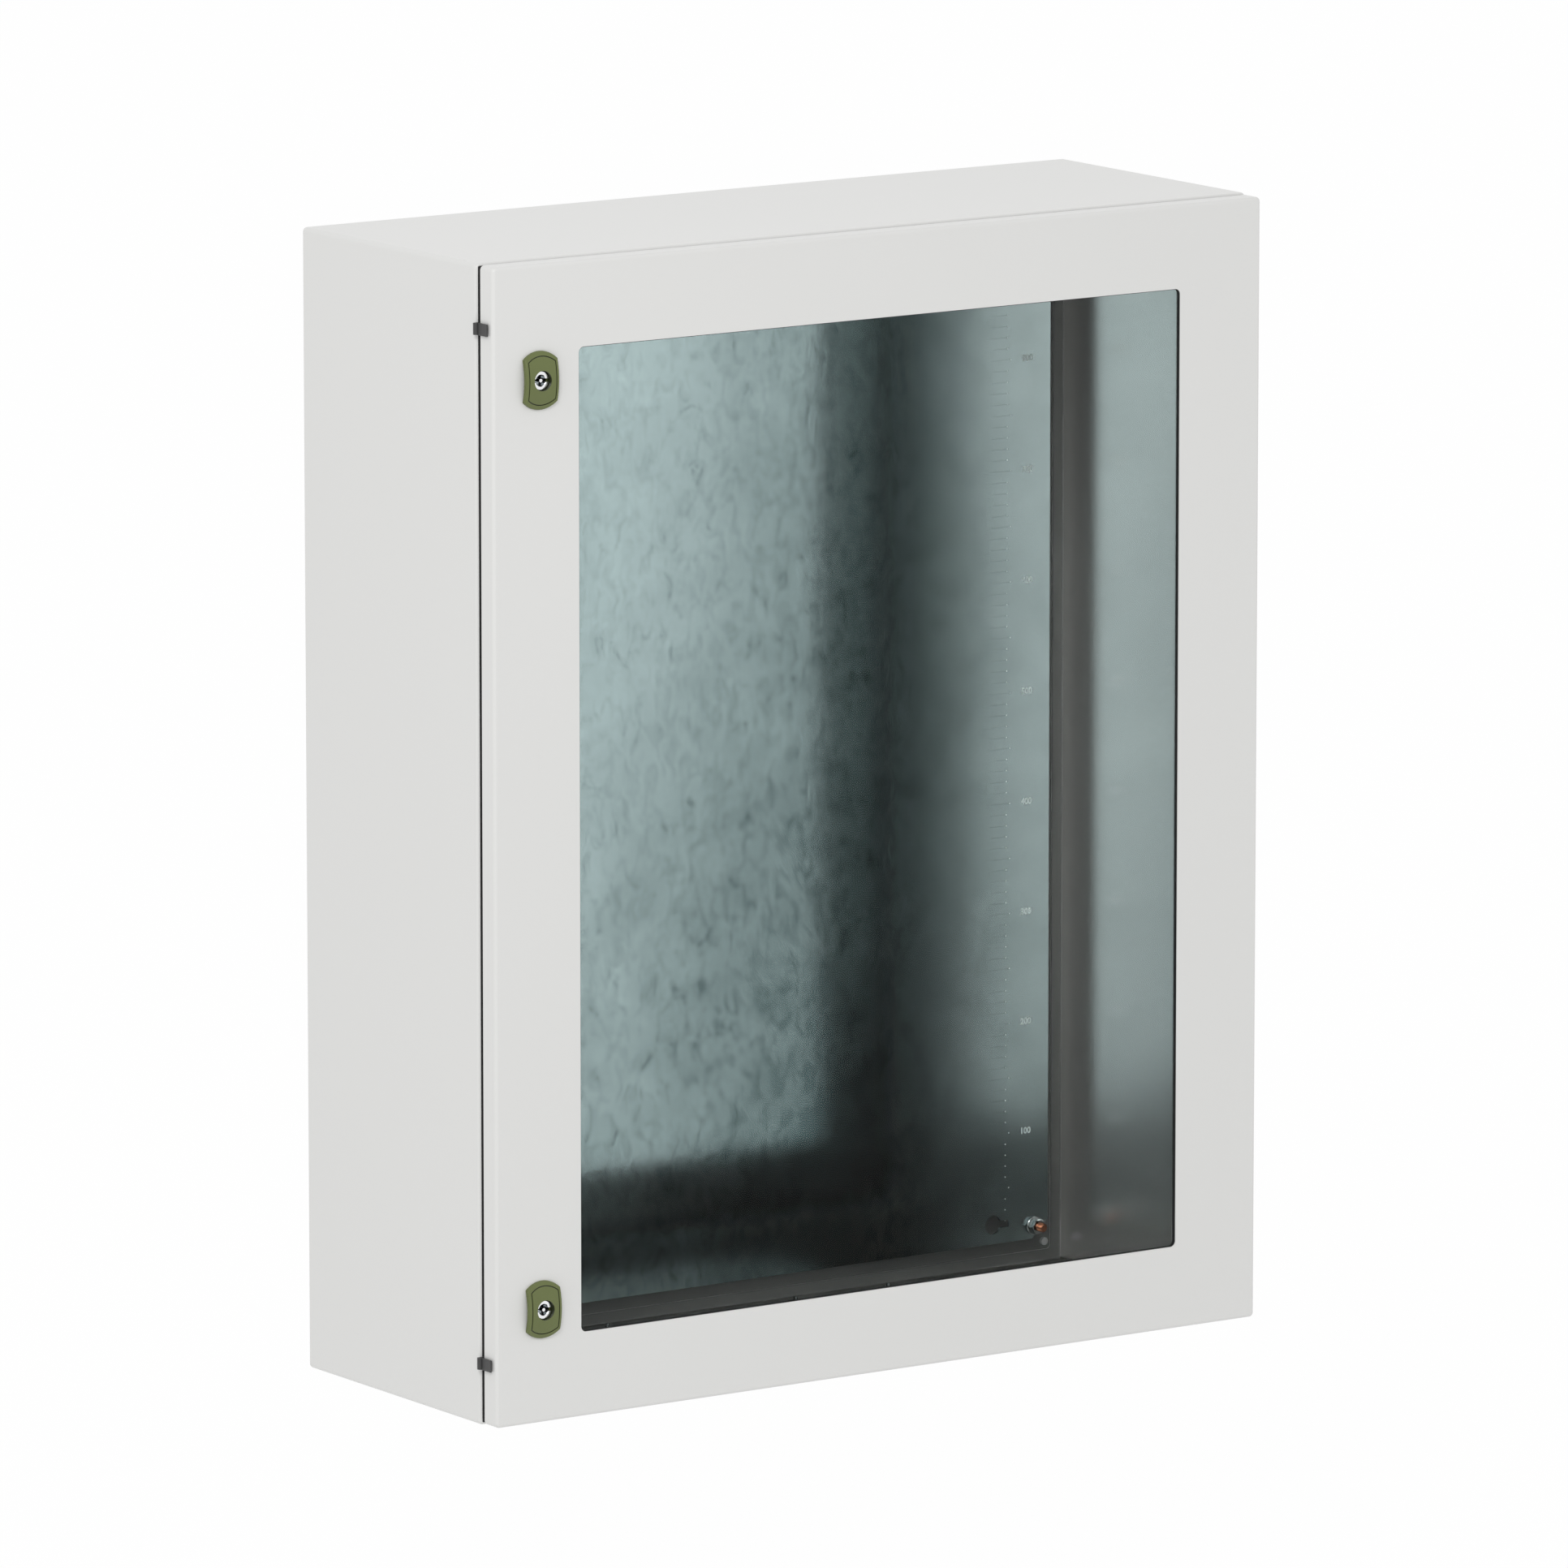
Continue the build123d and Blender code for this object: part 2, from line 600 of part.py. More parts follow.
# Door seal: foam bead inside the door that meets the cabinet's lip
lip_middle_inset = rim_width - body_sheet / 2
seal_outer_inset = lip_middle_inset - door_seal_width / 2
seal_inner_inset = lip_middle_inset + door_seal_width / 2
with BuildPart() as door_seal:
    seal_start_out = lip_end_out + door_seal_air
    add_block(
        body_width - 2 * seal_outer_inset, body_height - 2 * seal_outer_inset,
        lip_corner_r + door_seal_width / 2, seal_start_out, door_inner_out,
    )
    add_block(
        body_width - 2 * seal_inner_inset, body_height - 2 * seal_inner_inset,
        lip_corner_r, seal_start_out, door_inner_out, mode=Mode.SUBTRACT,
    )
    fillet(door_seal.faces().sort_by(Axis.Y)[-1].edges(), door_seal_r)
door_seal.part.label = "door_seal"
export_step(door_seal.part, "parts/door_seal.step")

# Window seal: black rubber frame between the door sheet and the glass, with a lip that lines the cut edge
with BuildPart() as window_seal:
    add_block(glass_width, glass_height, glass_corner_r, glass_front_out, door_inner_out)
    window_lip_out = closed_depth - window_lip_setback
    add_block(window_width, window_height, window_corner_r, glass_front_out, window_lip_out)
    add_block(
        window_width - 2 * window_lip_sheet, window_height - 2 * window_lip_sheet,
        window_corner_r - window_lip_sheet, glass_front_out, window_lip_out, mode=Mode.SUBTRACT,
    )
window_seal.part.label = "window_seal"
export_step(window_seal.part, "parts/window_seal.step")

# Window glass: one toughened pane behind the door sheet
with BuildPart() as window_glass:
    add_block(glass_width, glass_height, glass_corner_r, glass_back_out, glass_front_out)
window_glass.part.label = "window_glass"
export_step(window_glass.part, "parts/window_glass.step")

# Glass clamps: folded steel strips, one foot on the pane and one on the door sheet, held by studs and nuts
clamp_step = door_inner_out - glass_back_out + clamp_sheet
clamp_stud_middle = clamp_foot_start + clamp_foot / 2
cross_clamp_length = window_width + 2 * (glass_overlap - clamp_glass_grip - clamp_end_air)


def spread(length, count):
    """Evenly spaced stud places along a clamp, the same inset at both ends."""
    step = (length - 2 * clamp_stud_end_inset) / (count - 1)
    return [step * (i - (count - 1) / 2) for i in range(count)]


side_stud_x = window_width / 2 + clamp_stud_middle
cross_stud_z = window_height / 2 + clamp_stud_middle
side_clamp_spots = {
    s: [(s * side_stud_x, z) for z in spread(glass_height, clamp_side_studs)] for s in (-1, 1)
}
cross_clamp_spots = {
    s: [(x, s * cross_stud_z) for x in spread(cross_clamp_length, clamp_cross_studs)] for s in (-1, 1)
}
clamp_spots = side_clamp_spots[-1] + side_clamp_spots[1] + cross_clamp_spots[-1] + cross_clamp_spots[1]


def add_clamp(section_plane, length, stud_holes):
    """Add a clamp from its Z section: local X leads away from the window, local Y towards the front."""
    edge_start = glass_overlap + clamp_edge_air
    back = glass_back_out - clamp_sheet
    with BuildSketch(section_plane) as section:
        with Locations((glass_overlap - clamp_glass_grip, back)):
            Rectangle(
                clamp_glass_grip + clamp_edge_air + clamp_sheet, clamp_sheet, align=(Align.MIN, Align.MIN)
            )
        with Locations((edge_start, back)):
            Rectangle(clamp_sheet, clamp_step, align=(Align.MIN, Align.MIN))
        with Locations((edge_start, door_inner_out - clamp_sheet)):
            Rectangle(clamp_sheet + clamp_foot, clamp_sheet, align=(Align.MIN, Align.MIN))
    extrude(section.sketch, amount=length / 2, both=True)
    add_rounds(
        out_plane(door_inner_out - clamp_sheet), screw_r + hole_air, clamp_sheet, stud_holes, Mode.SUBTRACT
    )


for place, side in (("left", -1), ("right", 1)):
    with BuildPart() as side_clamp:
        clamp_section = Plane(
            origin=(side * window_width / 2, 0, 0), x_dir=(side, 0, 0), z_dir=(0, 0, -side)
        )
        add_clamp(clamp_section, glass_height, side_clamp_spots[side])
    side_clamp.part.label = f"glass_clamp_{place}"
    export_step(side_clamp.part, f"parts/glass_clamp_{place}.step")

for place, side in (("bottom", -1), ("top", 1)):
    with BuildPart() as cross_clamp:
        clamp_section = Plane(
            origin=(0, 0, side * window_height / 2), x_dir=(0, 0, side), z_dir=(side, 0, 0)
        )
        add_clamp(clamp_section, cross_clamp_length, cross_clamp_spots[side])
    cross_clamp.part.label = f"glass_clamp_{place}"
    export_step(cross_clamp.part, f"parts/glass_clamp_{place}.step")

with BuildPart() as clamp_studs:
    add_rounds(out_plane(door_inner_out - clamp_stud_length), screw_r, clamp_stud_length, clamp_spots)
clamp_studs.part.label = "clamp_studs"
export_step(clamp_studs.part, "parts/clamp_studs.step")

with BuildPart() as clamp_nuts:
    add_hexagons(
        out_plane(door_inner_out - clamp_sheet - small_nut_thickness), small_nut_flats, small_nut_thickness,
        screw_r + running_air, clamp_spots,
    )
clamp_nuts.part.label = "clamp_nuts"
export_step(clamp_nuts.part, "parts/clamp_nuts.step")

# Door earth stud and its flanged nut, inside the door at the lower hinge corner
door_earth_spot = (half_width - door_earth_side_inset, -half_height + door_earth_base_inset)
with BuildPart() as door_earth_stud:
    add_rounds(out_plane(door_inner_out - earth_stud_length), stud_r, earth_stud_length, [door_earth_spot])
door_earth_stud.part.label = "door_earth_stud"
export_step(door_earth_stud.part, "parts/door_earth_stud.step")

with BuildPart() as door_earth_nut:
    nut_back = out_plane(door_inner_out - nut_thickness)
    add_hexagons(nut_back, nut_flats, nut_thickness, stud_r + running_air, [door_earth_spot])
    flange_back = out_plane(door_inner_out - earth_flange_sheet)
    add_rounds(flange_back, earth_flange_r, earth_flange_sheet, [door_earth_spot])
    add_rounds(nut_back, stud_r + running_air, nut_thickness, [door_earth_spot], Mode.SUBTRACT)
door_earth_nut.part.label = "door_earth_nut"
export_step(door_earth_nut.part, "parts/door_earth_nut.step")

# Lock places along the lock axis
escutcheon_front_out = closed_depth + escutcheon_thickness
crown_axis_out = escutcheon_front_out - escutcheon_crown_r
arch_r = (escutcheon_corner_z ** 2 + escutcheon_arch_rise ** 2) / (2 * escutcheon_arch_rise)
arch_axis_out = closed_depth + escutcheon_arch_rise - arch_r
lock_boss_end_out = closed_depth - lock_boss_length
core_front_out = escutcheon_front_out - core_recess
core_seat_out = closed_depth + running_air
cam_front_out = rim_back_out - cam_rim_air
cam_back_out = cam_front_out - cam_sheet
cam_reach = half_width + lock_x - cam_side_gap


def escutcheon_sketch(side_inset, end_inset):
    """Escutcheon outline about the lock centre: straight sides between two crowned ends."""
    half = escutcheon_width / 2 - side_inset
    corner_z = escutcheon_corner_z - end_inset / 2
    crown_z = escutcheon_height / 2 - end_inset
    with BuildLine() as outline:
        ThreePointArc((-half, corner_z), (0, crown_z), (half, corner_z))
        Line((half, corner_z), (half, -corner_z))
        ThreePointArc((half, -corner_z), (0, -crown_z), (-half, -corner_z))
        Line((-half, -corner_z), (-half, corner_z))
    make_face(outline.edges())


for place, (spot_x, spot_z) in (("upper", lock_spots[0]), ("lower", lock_spots[1])):
    face_plane = Plane(origin=(spot_x, -closed_depth, spot_z), x_dir=(1, 0, 0), z_dir=(0, -1, 0))
    crown_plane = Plane(origin=(spot_x, -crown_axis_out, spot_z), x_dir=(0, 1, 0), z_dir=(1, 0, 0))
    arch_plane = Plane(origin=(spot_x, -arch_axis_out, spot_z), x_dir=(0, 1, 0), z_dir=(1, 0, 0))

    # Groove cutter: a ring that reaches a constant depth below the crowned face
    with BuildPart() as groove:
        with BuildSketch(face_plane):
            escutcheon_sketch(groove_side_inset, groove_end_inset)
        extrude(amount=escutcheon_thickness)
        with BuildSketch(face_plane):
            escutcheon_sketch(groove_side_inset + groove_width, groove_end_inset + groove_width)
        extrude(amount=escutcheon_thickness, mode=Mode.SUBTRACT)
        with BuildSketch(crown_plane):
            Circle(escutcheon_crown_r - groove_depth)
        extrude(amount=escutcheon_width, both=True, mode=Mode.SUBTRACT)

    # Arch cutter: the hollow under the escutcheon, around the seat of the lock
    with BuildPart() as arch:
        with BuildSketch(arch_plane):
            Circle(arch_r)
        extrude(amount=escutcheon_width, both=True)
        add_rounds(face_plane, escutcheon_seat_r, escutcheon_thickness, [(0, 0)], Mode.SUBTRACT)

    # Lock housing: moulded escutcheon that arches over the door, with a round boss through the door
    with BuildPart() as lock_housing:
        with BuildSketch(face_plane):
            escutcheon_sketch(0, 0)
        extrude(amount=escutcheon_thickness)
        with BuildSketch(crown_plane):
            Circle(escutcheon_crown_r)
        extrude(amount=escutcheon_width, both=True, mode=Mode.INTERSECT)
        crown_face = lock_housing.faces().sort_by(Axis.Y)[0]
        fillet(crown_face.edges(), escutcheon_edge_r)
        add(groove.part, mode=Mode.SUBTRACT)
        add(arch.part, mode=Mode.SUBTRACT)
        add_rounds(face_plane.offset(-lock_boss_length), lock_boss_r, lock_boss_length, [(0, 0)])
        add_rounds(face_plane, key_hole_r, escutcheon_thickness, [(0, 0)], Mode.SUBTRACT)
        add_rounds(
            face_plane.offset(-lock_boss_length), core_shaft_r + running_air, lock_boss_length, [(0, 0)],
            Mode.SUBTRACT,
        )
    lock_housing.part.label = f"lock_housing_{place}"
    export_step(lock_housing.part, f"parts/lock_housing_{place}.step")

    # Lock nut: thin hexagon that clamps the housing from inside the door
    with BuildPart() as lock_nut:
        add_hexagons(
            face_plane.offset(-door_sheet - lock_nut_thickness), lock_nut_flats, lock_nut_thickness,
            lock_boss_r + running_air, [(0, 0)],
        )
    lock_nut.part.label = f"lock_nut_{place}"
    export_step(lock_nut.part, f"parts/lock_nut_{place}.step")

    # Lock core: plated insert with a double-bit socket, a square end and a tapped hole for the cam screw
    spot = [(spot_x, spot_z)]
    with BuildPart() as lock_core:
        add_rounds(out_plane(core_seat_out), core_head_r, core_front_out - core_seat_out, spot)
        add_rounds(out_plane(cam_front_out), core_shaft_r, core_seat_out - cam_front_out, spot)
        socket_floor = out_plane(core_front_out - core_socket_depth)
        add_rounds(socket_floor, core_socket_r, core_socket_depth, spot, Mode.SUBTRACT)
        with BuildSketch(out_plane(core_seat_out)):
            with Locations(*spot):
                Rectangle(2 * core_head_r, core_slot_height)
        extrude(amount=core_front_out - core_seat_out, mode=Mode.SUBTRACT)
        head_edges = lock_core.edges().filter_by(GeomType.CIRCLE).group_by(Axis.Y)[0]
        chamfer(head_edges, core_edge_cut)
        add_rounds(socket_floor, core_pin_r, core_socket_depth - core_pin_setback, spot)
        with BuildSketch(out_plane(cam_back_out)):
            with Locations(*spot):
                Rectangle(cam_square, cam_square)
        extrude(amount=cam_sheet)
        add_rounds(
            out_plane(cam_back_out), cam_screw_r + running_air, cam_screw_length, spot, Mode.SUBTRACT
        )
    lock_core.part.label = f"lock_core_{place}"
    export_step(lock_core.part, f"parts/lock_core_{place}.step")

    # Lock cam: steel tongue that hangs down when unlocked and turns behind the rim to lock
    with BuildPart() as lock_cam:
        with BuildSketch(out_plane(cam_back_out)) as cam_outline:
            with Locations(*spot):
                Circle(cam_hub_r)
                Rectangle(cam_width, cam_reach, align=(Align.CENTER, Align.MAX))
            fillet(cam_outline.vertices().group_by(Axis.Y)[0], cam_tip_r)
            with Locations(*spot):
                square_hole = cam_square + 2 * running_air
                Rectangle(square_hole, square_hole, mode=Mode.SUBTRACT)
        extrude(amount=cam_sheet)
    lock_cam.part.label = f"lock_cam_{place}"
    export_step(lock_cam.part, f"parts/lock_cam_{place}.step")

    # Cam screw: wide head that holds the cam on the square end
    with BuildPart() as cam_screw:
        head_back = out_plane(cam_back_out - cam_screw_head_height)
        add_rounds(head_back, cam_screw_head_r, cam_screw_head_height, spot)
        add_rounds(out_plane(cam_back_out), cam_screw_r, cam_screw_length, spot)
    cam_screw.part.label = f"cam_screw_{place}"
    export_step(cam_screw.part, f"parts/cam_screw_{place}.step")
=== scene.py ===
import math

import bmesh
import bpy
from mathutils import Matrix, Vector


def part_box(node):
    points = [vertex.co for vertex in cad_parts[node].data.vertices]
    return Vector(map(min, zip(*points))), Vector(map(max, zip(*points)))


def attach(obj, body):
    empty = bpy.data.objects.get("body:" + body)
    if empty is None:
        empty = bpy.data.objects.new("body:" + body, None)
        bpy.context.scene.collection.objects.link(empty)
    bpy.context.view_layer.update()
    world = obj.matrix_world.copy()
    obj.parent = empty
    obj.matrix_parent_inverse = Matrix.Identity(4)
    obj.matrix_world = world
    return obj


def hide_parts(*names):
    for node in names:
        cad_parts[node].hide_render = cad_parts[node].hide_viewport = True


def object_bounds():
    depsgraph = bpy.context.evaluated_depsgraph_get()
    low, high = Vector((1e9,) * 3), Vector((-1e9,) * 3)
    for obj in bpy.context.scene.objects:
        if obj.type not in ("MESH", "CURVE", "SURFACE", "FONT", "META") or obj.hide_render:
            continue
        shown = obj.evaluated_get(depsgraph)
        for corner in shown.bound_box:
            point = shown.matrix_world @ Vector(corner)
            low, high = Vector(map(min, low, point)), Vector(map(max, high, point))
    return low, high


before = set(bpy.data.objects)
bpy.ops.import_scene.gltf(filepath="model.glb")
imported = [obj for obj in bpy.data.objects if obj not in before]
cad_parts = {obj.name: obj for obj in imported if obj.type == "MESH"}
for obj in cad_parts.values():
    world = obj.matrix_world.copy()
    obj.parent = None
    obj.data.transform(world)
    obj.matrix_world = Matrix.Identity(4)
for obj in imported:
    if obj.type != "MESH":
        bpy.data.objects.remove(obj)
cad_low, cad_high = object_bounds()

# Cabinet: sides, top and floor are one wrap of folded sheet steel, with a flat rear panel welded on behind.
# It is powder coated light grey with a fine orange peel. Inside, the coat is smooth and shows reflections.
# The floor, top and rear inside are painted dark as painted shade, and the rim behind the door is painted
# near-black as painted shade in the gap round the door.
PAINT_LIGHT = (0.735, 0.735, 0.721, 1)
PAINT_SHADE = (0.722, 0.722, 0.709, 1)
WALL_INSIDE = {"sheen": 0.85, "roughness": 0.27, "colour": (0.98, 0.95, 0.94, 1)}
# Floor and top inside: painted shade, a darker copy of the smooth inside coat.
FLOOR_TOP_PAINTED_SHADE = {"sheen": 0.85, "roughness": 0.28, "colour": (0.32, 0.32, 0.31, 1)}
# Rim behind the door: painted shade, near-black, so the gap round the door reads dark.
RIM_PAINTED_SHADE = {"sheen": 0.0, "roughness": 0.55, "colour": (0.035, 0.035, 0.035, 1)}
# Rear panel and flange inside: painted shade, dark grey.
REAR_PAINTED_SHADE = {"sheen": 0.0, "roughness": 0.45, "colour": (0.16, 0.16, 0.155, 1)}
PEEL_PER_METRE = 900
TONE_PER_METRE = 3
PEEL_HEIGHT = 0.000012
PAINT_ROUGHNESS = 0.33
PAINT_SPECULAR = 0.4
GRAIN_DETAIL = 1
TONE_DETAIL = 4
NOISE_ROUGHNESS = 0.55
BEYOND = 1
SHEET_INSIDE = 0.0013
REAR_MIDDLE = -0.00075
RIM_BACK = -0.2745
RIM_FRONT = -0.2758
RIM_EDGE = 0.0022
LIP_EDGE = 0.0160
WALL_END = 0.0035
FLANGE_FRONT = -0.0035
FLANGE_MIDDLE = -0.00225
body_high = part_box("body_shell")[1]


def new_finish(name):
    """A new material, its node tree and its Principled shader."""
    material = bpy.data.materials.new(name)
    material.use_nodes = True
    return material, material.node_tree, material.node_tree.nodes["Principled BSDF"]


def add_node(tree, kind, inputs=None, **settings):
    """A node with its settings and the plain values of its sockets."""
    node = tree.nodes.new(kind)
    for key, value in settings.items():
        setattr(node, key, value)
    for socket, value in (inputs or {}).items():
        node.inputs[socket].default_value = value
    return node


def add_math(tree, operation, first, second=0):
    """A Math node of one or two terms, each a socket or a number."""
    node = add_node(tree, "ShaderNodeMath", operation=operation)
    for socket, term in zip(node.inputs, (first, second)):
        if isinstance(term, bpy.types.NodeSocket):
            tree.links.new(term, socket)
        else:
            socket.default_value = term
    return node.outputs[0]


def add_product(tree, *masks):
    """A mask of the places where all these masks are 1."""
    product = masks[0]
    for mask in masks[1:]:
        product = add_math(tree, "MULTIPLY", product, mask)
    return product


def add_choice(tree, mask, first, second):
    """The first value where the mask is 0, and the second where it is 1."""
    kept = add_math(tree, "MULTIPLY", add_math(tree, "SUBTRACT", 1, mask), first)
    return add_math(tree, "ADD", kept, add_math(tree, "MULTIPLY", mask, second))


def add_range(tree, mask, low, high):
    """A value that goes from low to high as the mask goes from 0 to 1."""
    return add_math(tree, "ADD", add_math(tree, "MULTIPLY", mask, high - low), low)


def add_blend(tree, mask, low, high):
    """A colour that goes from low to high as the mask goes from 0 to 1."""
    blend = add_node(tree, "ShaderNodeMix", data_type="RGBA")
    tree.links.new(mask, blend.inputs["Factor"])
    for socket, colour in ((blend.inputs["A"], low), (blend.inputs["B"], high)):
        if isinstance(colour, bpy.types.NodeSocket):
            tree.links.new(colour, socket)
        else:
            socket.default_value = colour
    return blend.outputs["Result"]


def add_relief(tree, shader, height, distance):
    """A bump of that many metres under the shader."""
    bump = add_node(tree, "ShaderNodeBump", {"Strength": 1.0, "Distance": distance})
    tree.links.new(height, bump.inputs["Height"])
    tree.links.new(bump.outputs["Normal"], shader.inputs["Normal"])


def dress(material, *names):
    """Give CAD nodes this finish."""
    for name in names:
        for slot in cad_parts[name].material_slots:
            slot.material = material


def coat_texture_group():
    """Fine relief and slow drift of tone, shared by paint, plastic, rubber and plating."""
    group = bpy.data.node_groups.new("coat_texture", "ShaderNodeTree")
    for name in ("Grain scale", "Tone scale"):
        group.interface.new_socket(name, in_out="INPUT", socket_type="NodeSocketFloat")
    for name in ("Height", "Tone"):
        group.interface.new_socket(name, in_out="OUTPUT", socket_type="NodeSocketFloat")
    source = group.nodes.new("NodeGroupInput")
    sink = group.nodes.new("NodeGroupOutput")
    place = group.nodes.new("ShaderNodeTexCoord")
    noises = (("Grain scale", "Height", GRAIN_DETAIL), ("Tone scale", "Tone", TONE_DETAIL))
    for scale, result, detail in noises:
        noise = add_node(group, "ShaderNodeTexNoise", {"Detail": detail, "Roughness": NOISE_ROUGHNESS})
        group.links.new(place.outputs["Object"], noise.inputs["Vector"])
        group.links.new(source.outputs[scale], noise.inputs["Scale"])
        group.links.new(noise.outputs["Fac"], sink.inputs[result])
    return group


coat_texture = coat_texture_group()


def add_coat(tree, grain, drift):
    """Height and tone of the shared coat texture, at so many grains and drifts of tone per metre."""
    scales = {"Grain scale": grain, "Tone scale": drift}
    coat = add_node(tree, "ShaderNodeGroup", scales, node_tree=coat_texture)
    return coat.outputs["Height"], coat.outputs["Tone"]


def add_axes(tree):
    """The X, Y and Z of a point of the piece."""
    place = add_node(tree, "ShaderNodeTexCoord")
    axes = add_node(tree, "ShaderNodeSeparateXYZ")
    tree.links.new(place.outputs["Object"], axes.inputs["Vector"])
    return axes.outputs


def add_inside(tree, reach_x, reach_z, front, back):
    """Mask of the surfaces within a box about the axis of the cabinet."""
    axes = add_axes(tree)
    return add_product(
        tree,
        add_math(tree, "LESS_THAN", add_math(tree, "ABSOLUTE", axes["X"]), reach_x),
        add_math(tree, "LESS_THAN", add_math(tree, "ABSOLUTE", axes["Z"]), reach_z),
        add_math(tree, "GREATER_THAN", axes["Y"], front),
        add_math(tree, "LESS_THAN", axes["Y"], back),
    )


def powder_coat(name, *inner_coats):
    """Light grey powder coat, with other finishes on the surfaces within boxes."""
    material, tree, shader = new_finish(name)
    height, tone = add_coat(tree, PEEL_PER_METRE, TONE_PER_METRE)
    colour = add_blend(tree, tone, PAINT_SHADE, PAINT_LIGHT)
    shader.inputs["Roughness"].default_value = PAINT_ROUGHNESS
    shader.inputs["Specular IOR Level"].default_value = PAINT_SPECULAR
    sheen, roughness = 0, PAINT_ROUGHNESS
    for finish, box in inner_coats:
        inside = add_inside(tree, *box)
        colour = add_blend(tree, inside, colour, finish["colour"])
        sheen = add_choice(tree, inside, sheen, finish["sheen"])
        roughness = add_choice(tree, inside, roughness, finish["roughness"])
        height = add_choice(tree, inside, height, 0)
    if any(finish["sheen"] for finish, box in inner_coats):
        tree.links.new(sheen, shader.inputs["Metallic"])
    if inner_coats:
        tree.links.new(roughness, shader.inputs["Roughness"])
    tree.links.new(colour, shader.inputs["Base Color"])
    add_relief(tree, shader, height, PEEL_HEIGHT)
    return material


sheet_x, sheet_z = body_high.x - SHEET_INSIDE, body_high.z - SHEET_INSIDE
cabinet_paint = powder_coat(
    "cabinet_paint",
    (FLOOR_TOP_PAINTED_SHADE, (sheet_x, sheet_z, RIM_BACK, FLANGE_FRONT)),
    (WALL_INSIDE, (sheet_x, body_high.z - WALL_END, RIM_BACK, FLANGE_FRONT)),
    (RIM_PAINTED_SHADE, (body_high.x - RIM_EDGE, body_high.z - RIM_EDGE, -BEYOND, RIM_FRONT)),
    (WALL_INSIDE, (body_high.x - LIP_EDGE, body_high.z - LIP_EDGE, -BEYOND, RIM_BACK)),
    (REAR_PAINTED_SHADE, (sheet_x, sheet_z, FLANGE_FRONT, FLANGE_MIDDLE)),
)
dress(cabinet_paint, "body_shell")
# The inner face of the rear panel is painted dark as painted shade.
rear_paint = powder_coat("rear_paint", (REAR_PAINTED_SHADE, (BEYOND, BEYOND, -BEYOND, REAR_MIDDLE)))
dress(rear_paint, "rear_panel")

# Hole plugs: small moulded plastic plugs, pushed from inside into the four corner holes of the rear panel.
# They are a plain light grey with a fine matt grain.
PLUG_LIGHT = (0.50, 0.51, 0.51, 1)
PLUG_SHADE = (0.42, 0.43, 0.43, 1)


def plain_finish(name, light, shade, grain, drift, roughness, relief, metallic=0):
    """A finish that drifts between two close tones, with a fine grain of that height in metres."""
    material, tree, shader = new_finish(name)
    height, tone = add_coat(tree, grain, drift)
    tree.links.new(add_blend(tree, tone, shade, light), shader.inputs["Base Color"])
    shader.inputs["Roughness"].default_value = roughness
    shader.inputs["Metallic"].default_value = metallic
    add_relief(tree, shader, height, relief)
    return material


plug_plastic = plain_finish(
    "plug_plastic", PLUG_LIGHT, PLUG_SHADE, grain=2500, drift=60, roughness=0.5, relief=0.00002
)
dress(plug_plastic, "hole_plugs")

# Plate studs: copper-flashed weld studs with a rolled thread, which stand on the rear panel and carry the
# mounting plate. The thin copper is patchy, from bright to brown.
COPPER_BRIGHT = (0.62, 0.25, 0.14, 1)
COPPER_SHADE = (0.15, 0.055, 0.03, 1)
STUD_PITCH = 0.00125
STUD_TIP = 0.0008
THREAD_STEPS = 20
THREAD_DEPTH = 0.6
SPARE_TURNS = 2
MERGE_DISTANCE = 1e-6


def solid_boxes(name):
    """The lowest and highest corner of each separate solid in a CAD node."""
    shape = bmesh.new()
    shape.from_mesh(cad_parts[name].data)
    bmesh.ops.remove_doubles(shape, verts=shape.verts, dist=MERGE_DISTANCE)
    boxes = []
    waiting = set(shape.verts)
    while waiting:
        reached = [waiting.pop()]
        for vert in reached:
            beyond = {edge.other_vert(vert) for edge in vert.link_edges} & waiting
            waiting -= beyond
            reached.extend(beyond)
        corners = list(zip(*(vert.co for vert in reached)))
        boxes.append((Vector(map(min, corners)), Vector(map(max, corners))))
    shape.free()
    return sorted(boxes, key=lambda box: tuple(box[0]))


def thread_rod(length, radius, pitch, tip):
    """A threaded rod that hangs from the origin, with a V thread and any chamfered tip at the top."""
    root = radius - THREAD_DEPTH * pitch
    turns = math.ceil(length / pitch) + SPARE_TURNS
    shape = bmesh.new()
    flank = [
        shape.verts.new((across, 0, -length - pitch + along))
        for across, along in ((root, 0), (radius, pitch / 2), (root, pitch))
    ]
    edges = [shape.edges.new(pair) for pair in zip(flank, flank[1:])]
    bmesh.ops.spin(
        shape, geom=flank + edges, axis=(0, 0, 1), cent=(0, 0, 0), dvec=(0, 0, pitch / THREAD_STEPS),
        angle=math.tau * turns, steps=THREAD_STEPS * turns,
    )
    bmesh.ops.remove_doubles(shape, verts=shape.verts, dist=pitch / 100)
    for height, side in ((-length, -1), (-tip, 1)):
        cut = bmesh.ops.bisect_plane(
            shape, geom=shape.verts[:] + shape.edges[:] + shape.faces[:],
            plane_co=(0, 0, height), plane_no=(0, 0, side), clear_outer=True,
        )
        rim = [part for part in cut["geom_cut"] if isinstance(part, bmesh.types.BMEdge)]
        cap = bmesh.ops.contextual_create(shape, geom=rim)["faces"]
    if tip:
        top = bmesh.ops.extrude_face_region(shape, geom=cap)["geom"]
        top = [part for part in top if isinstance(part, bmesh.types.BMVert)]
        bmesh.ops.delete(shape, geom=cap, context="FACES_ONLY")
        bmesh.ops.translate(shape, verts=top, vec=(0, 0, tip))
        bmesh.ops.scale(shape, verts=top, vec=(1 - tip / radius, 1 - tip / radius, 1))
    bmesh.ops.recalc_face_normals(shape, faces=shape.faces)
    return shape


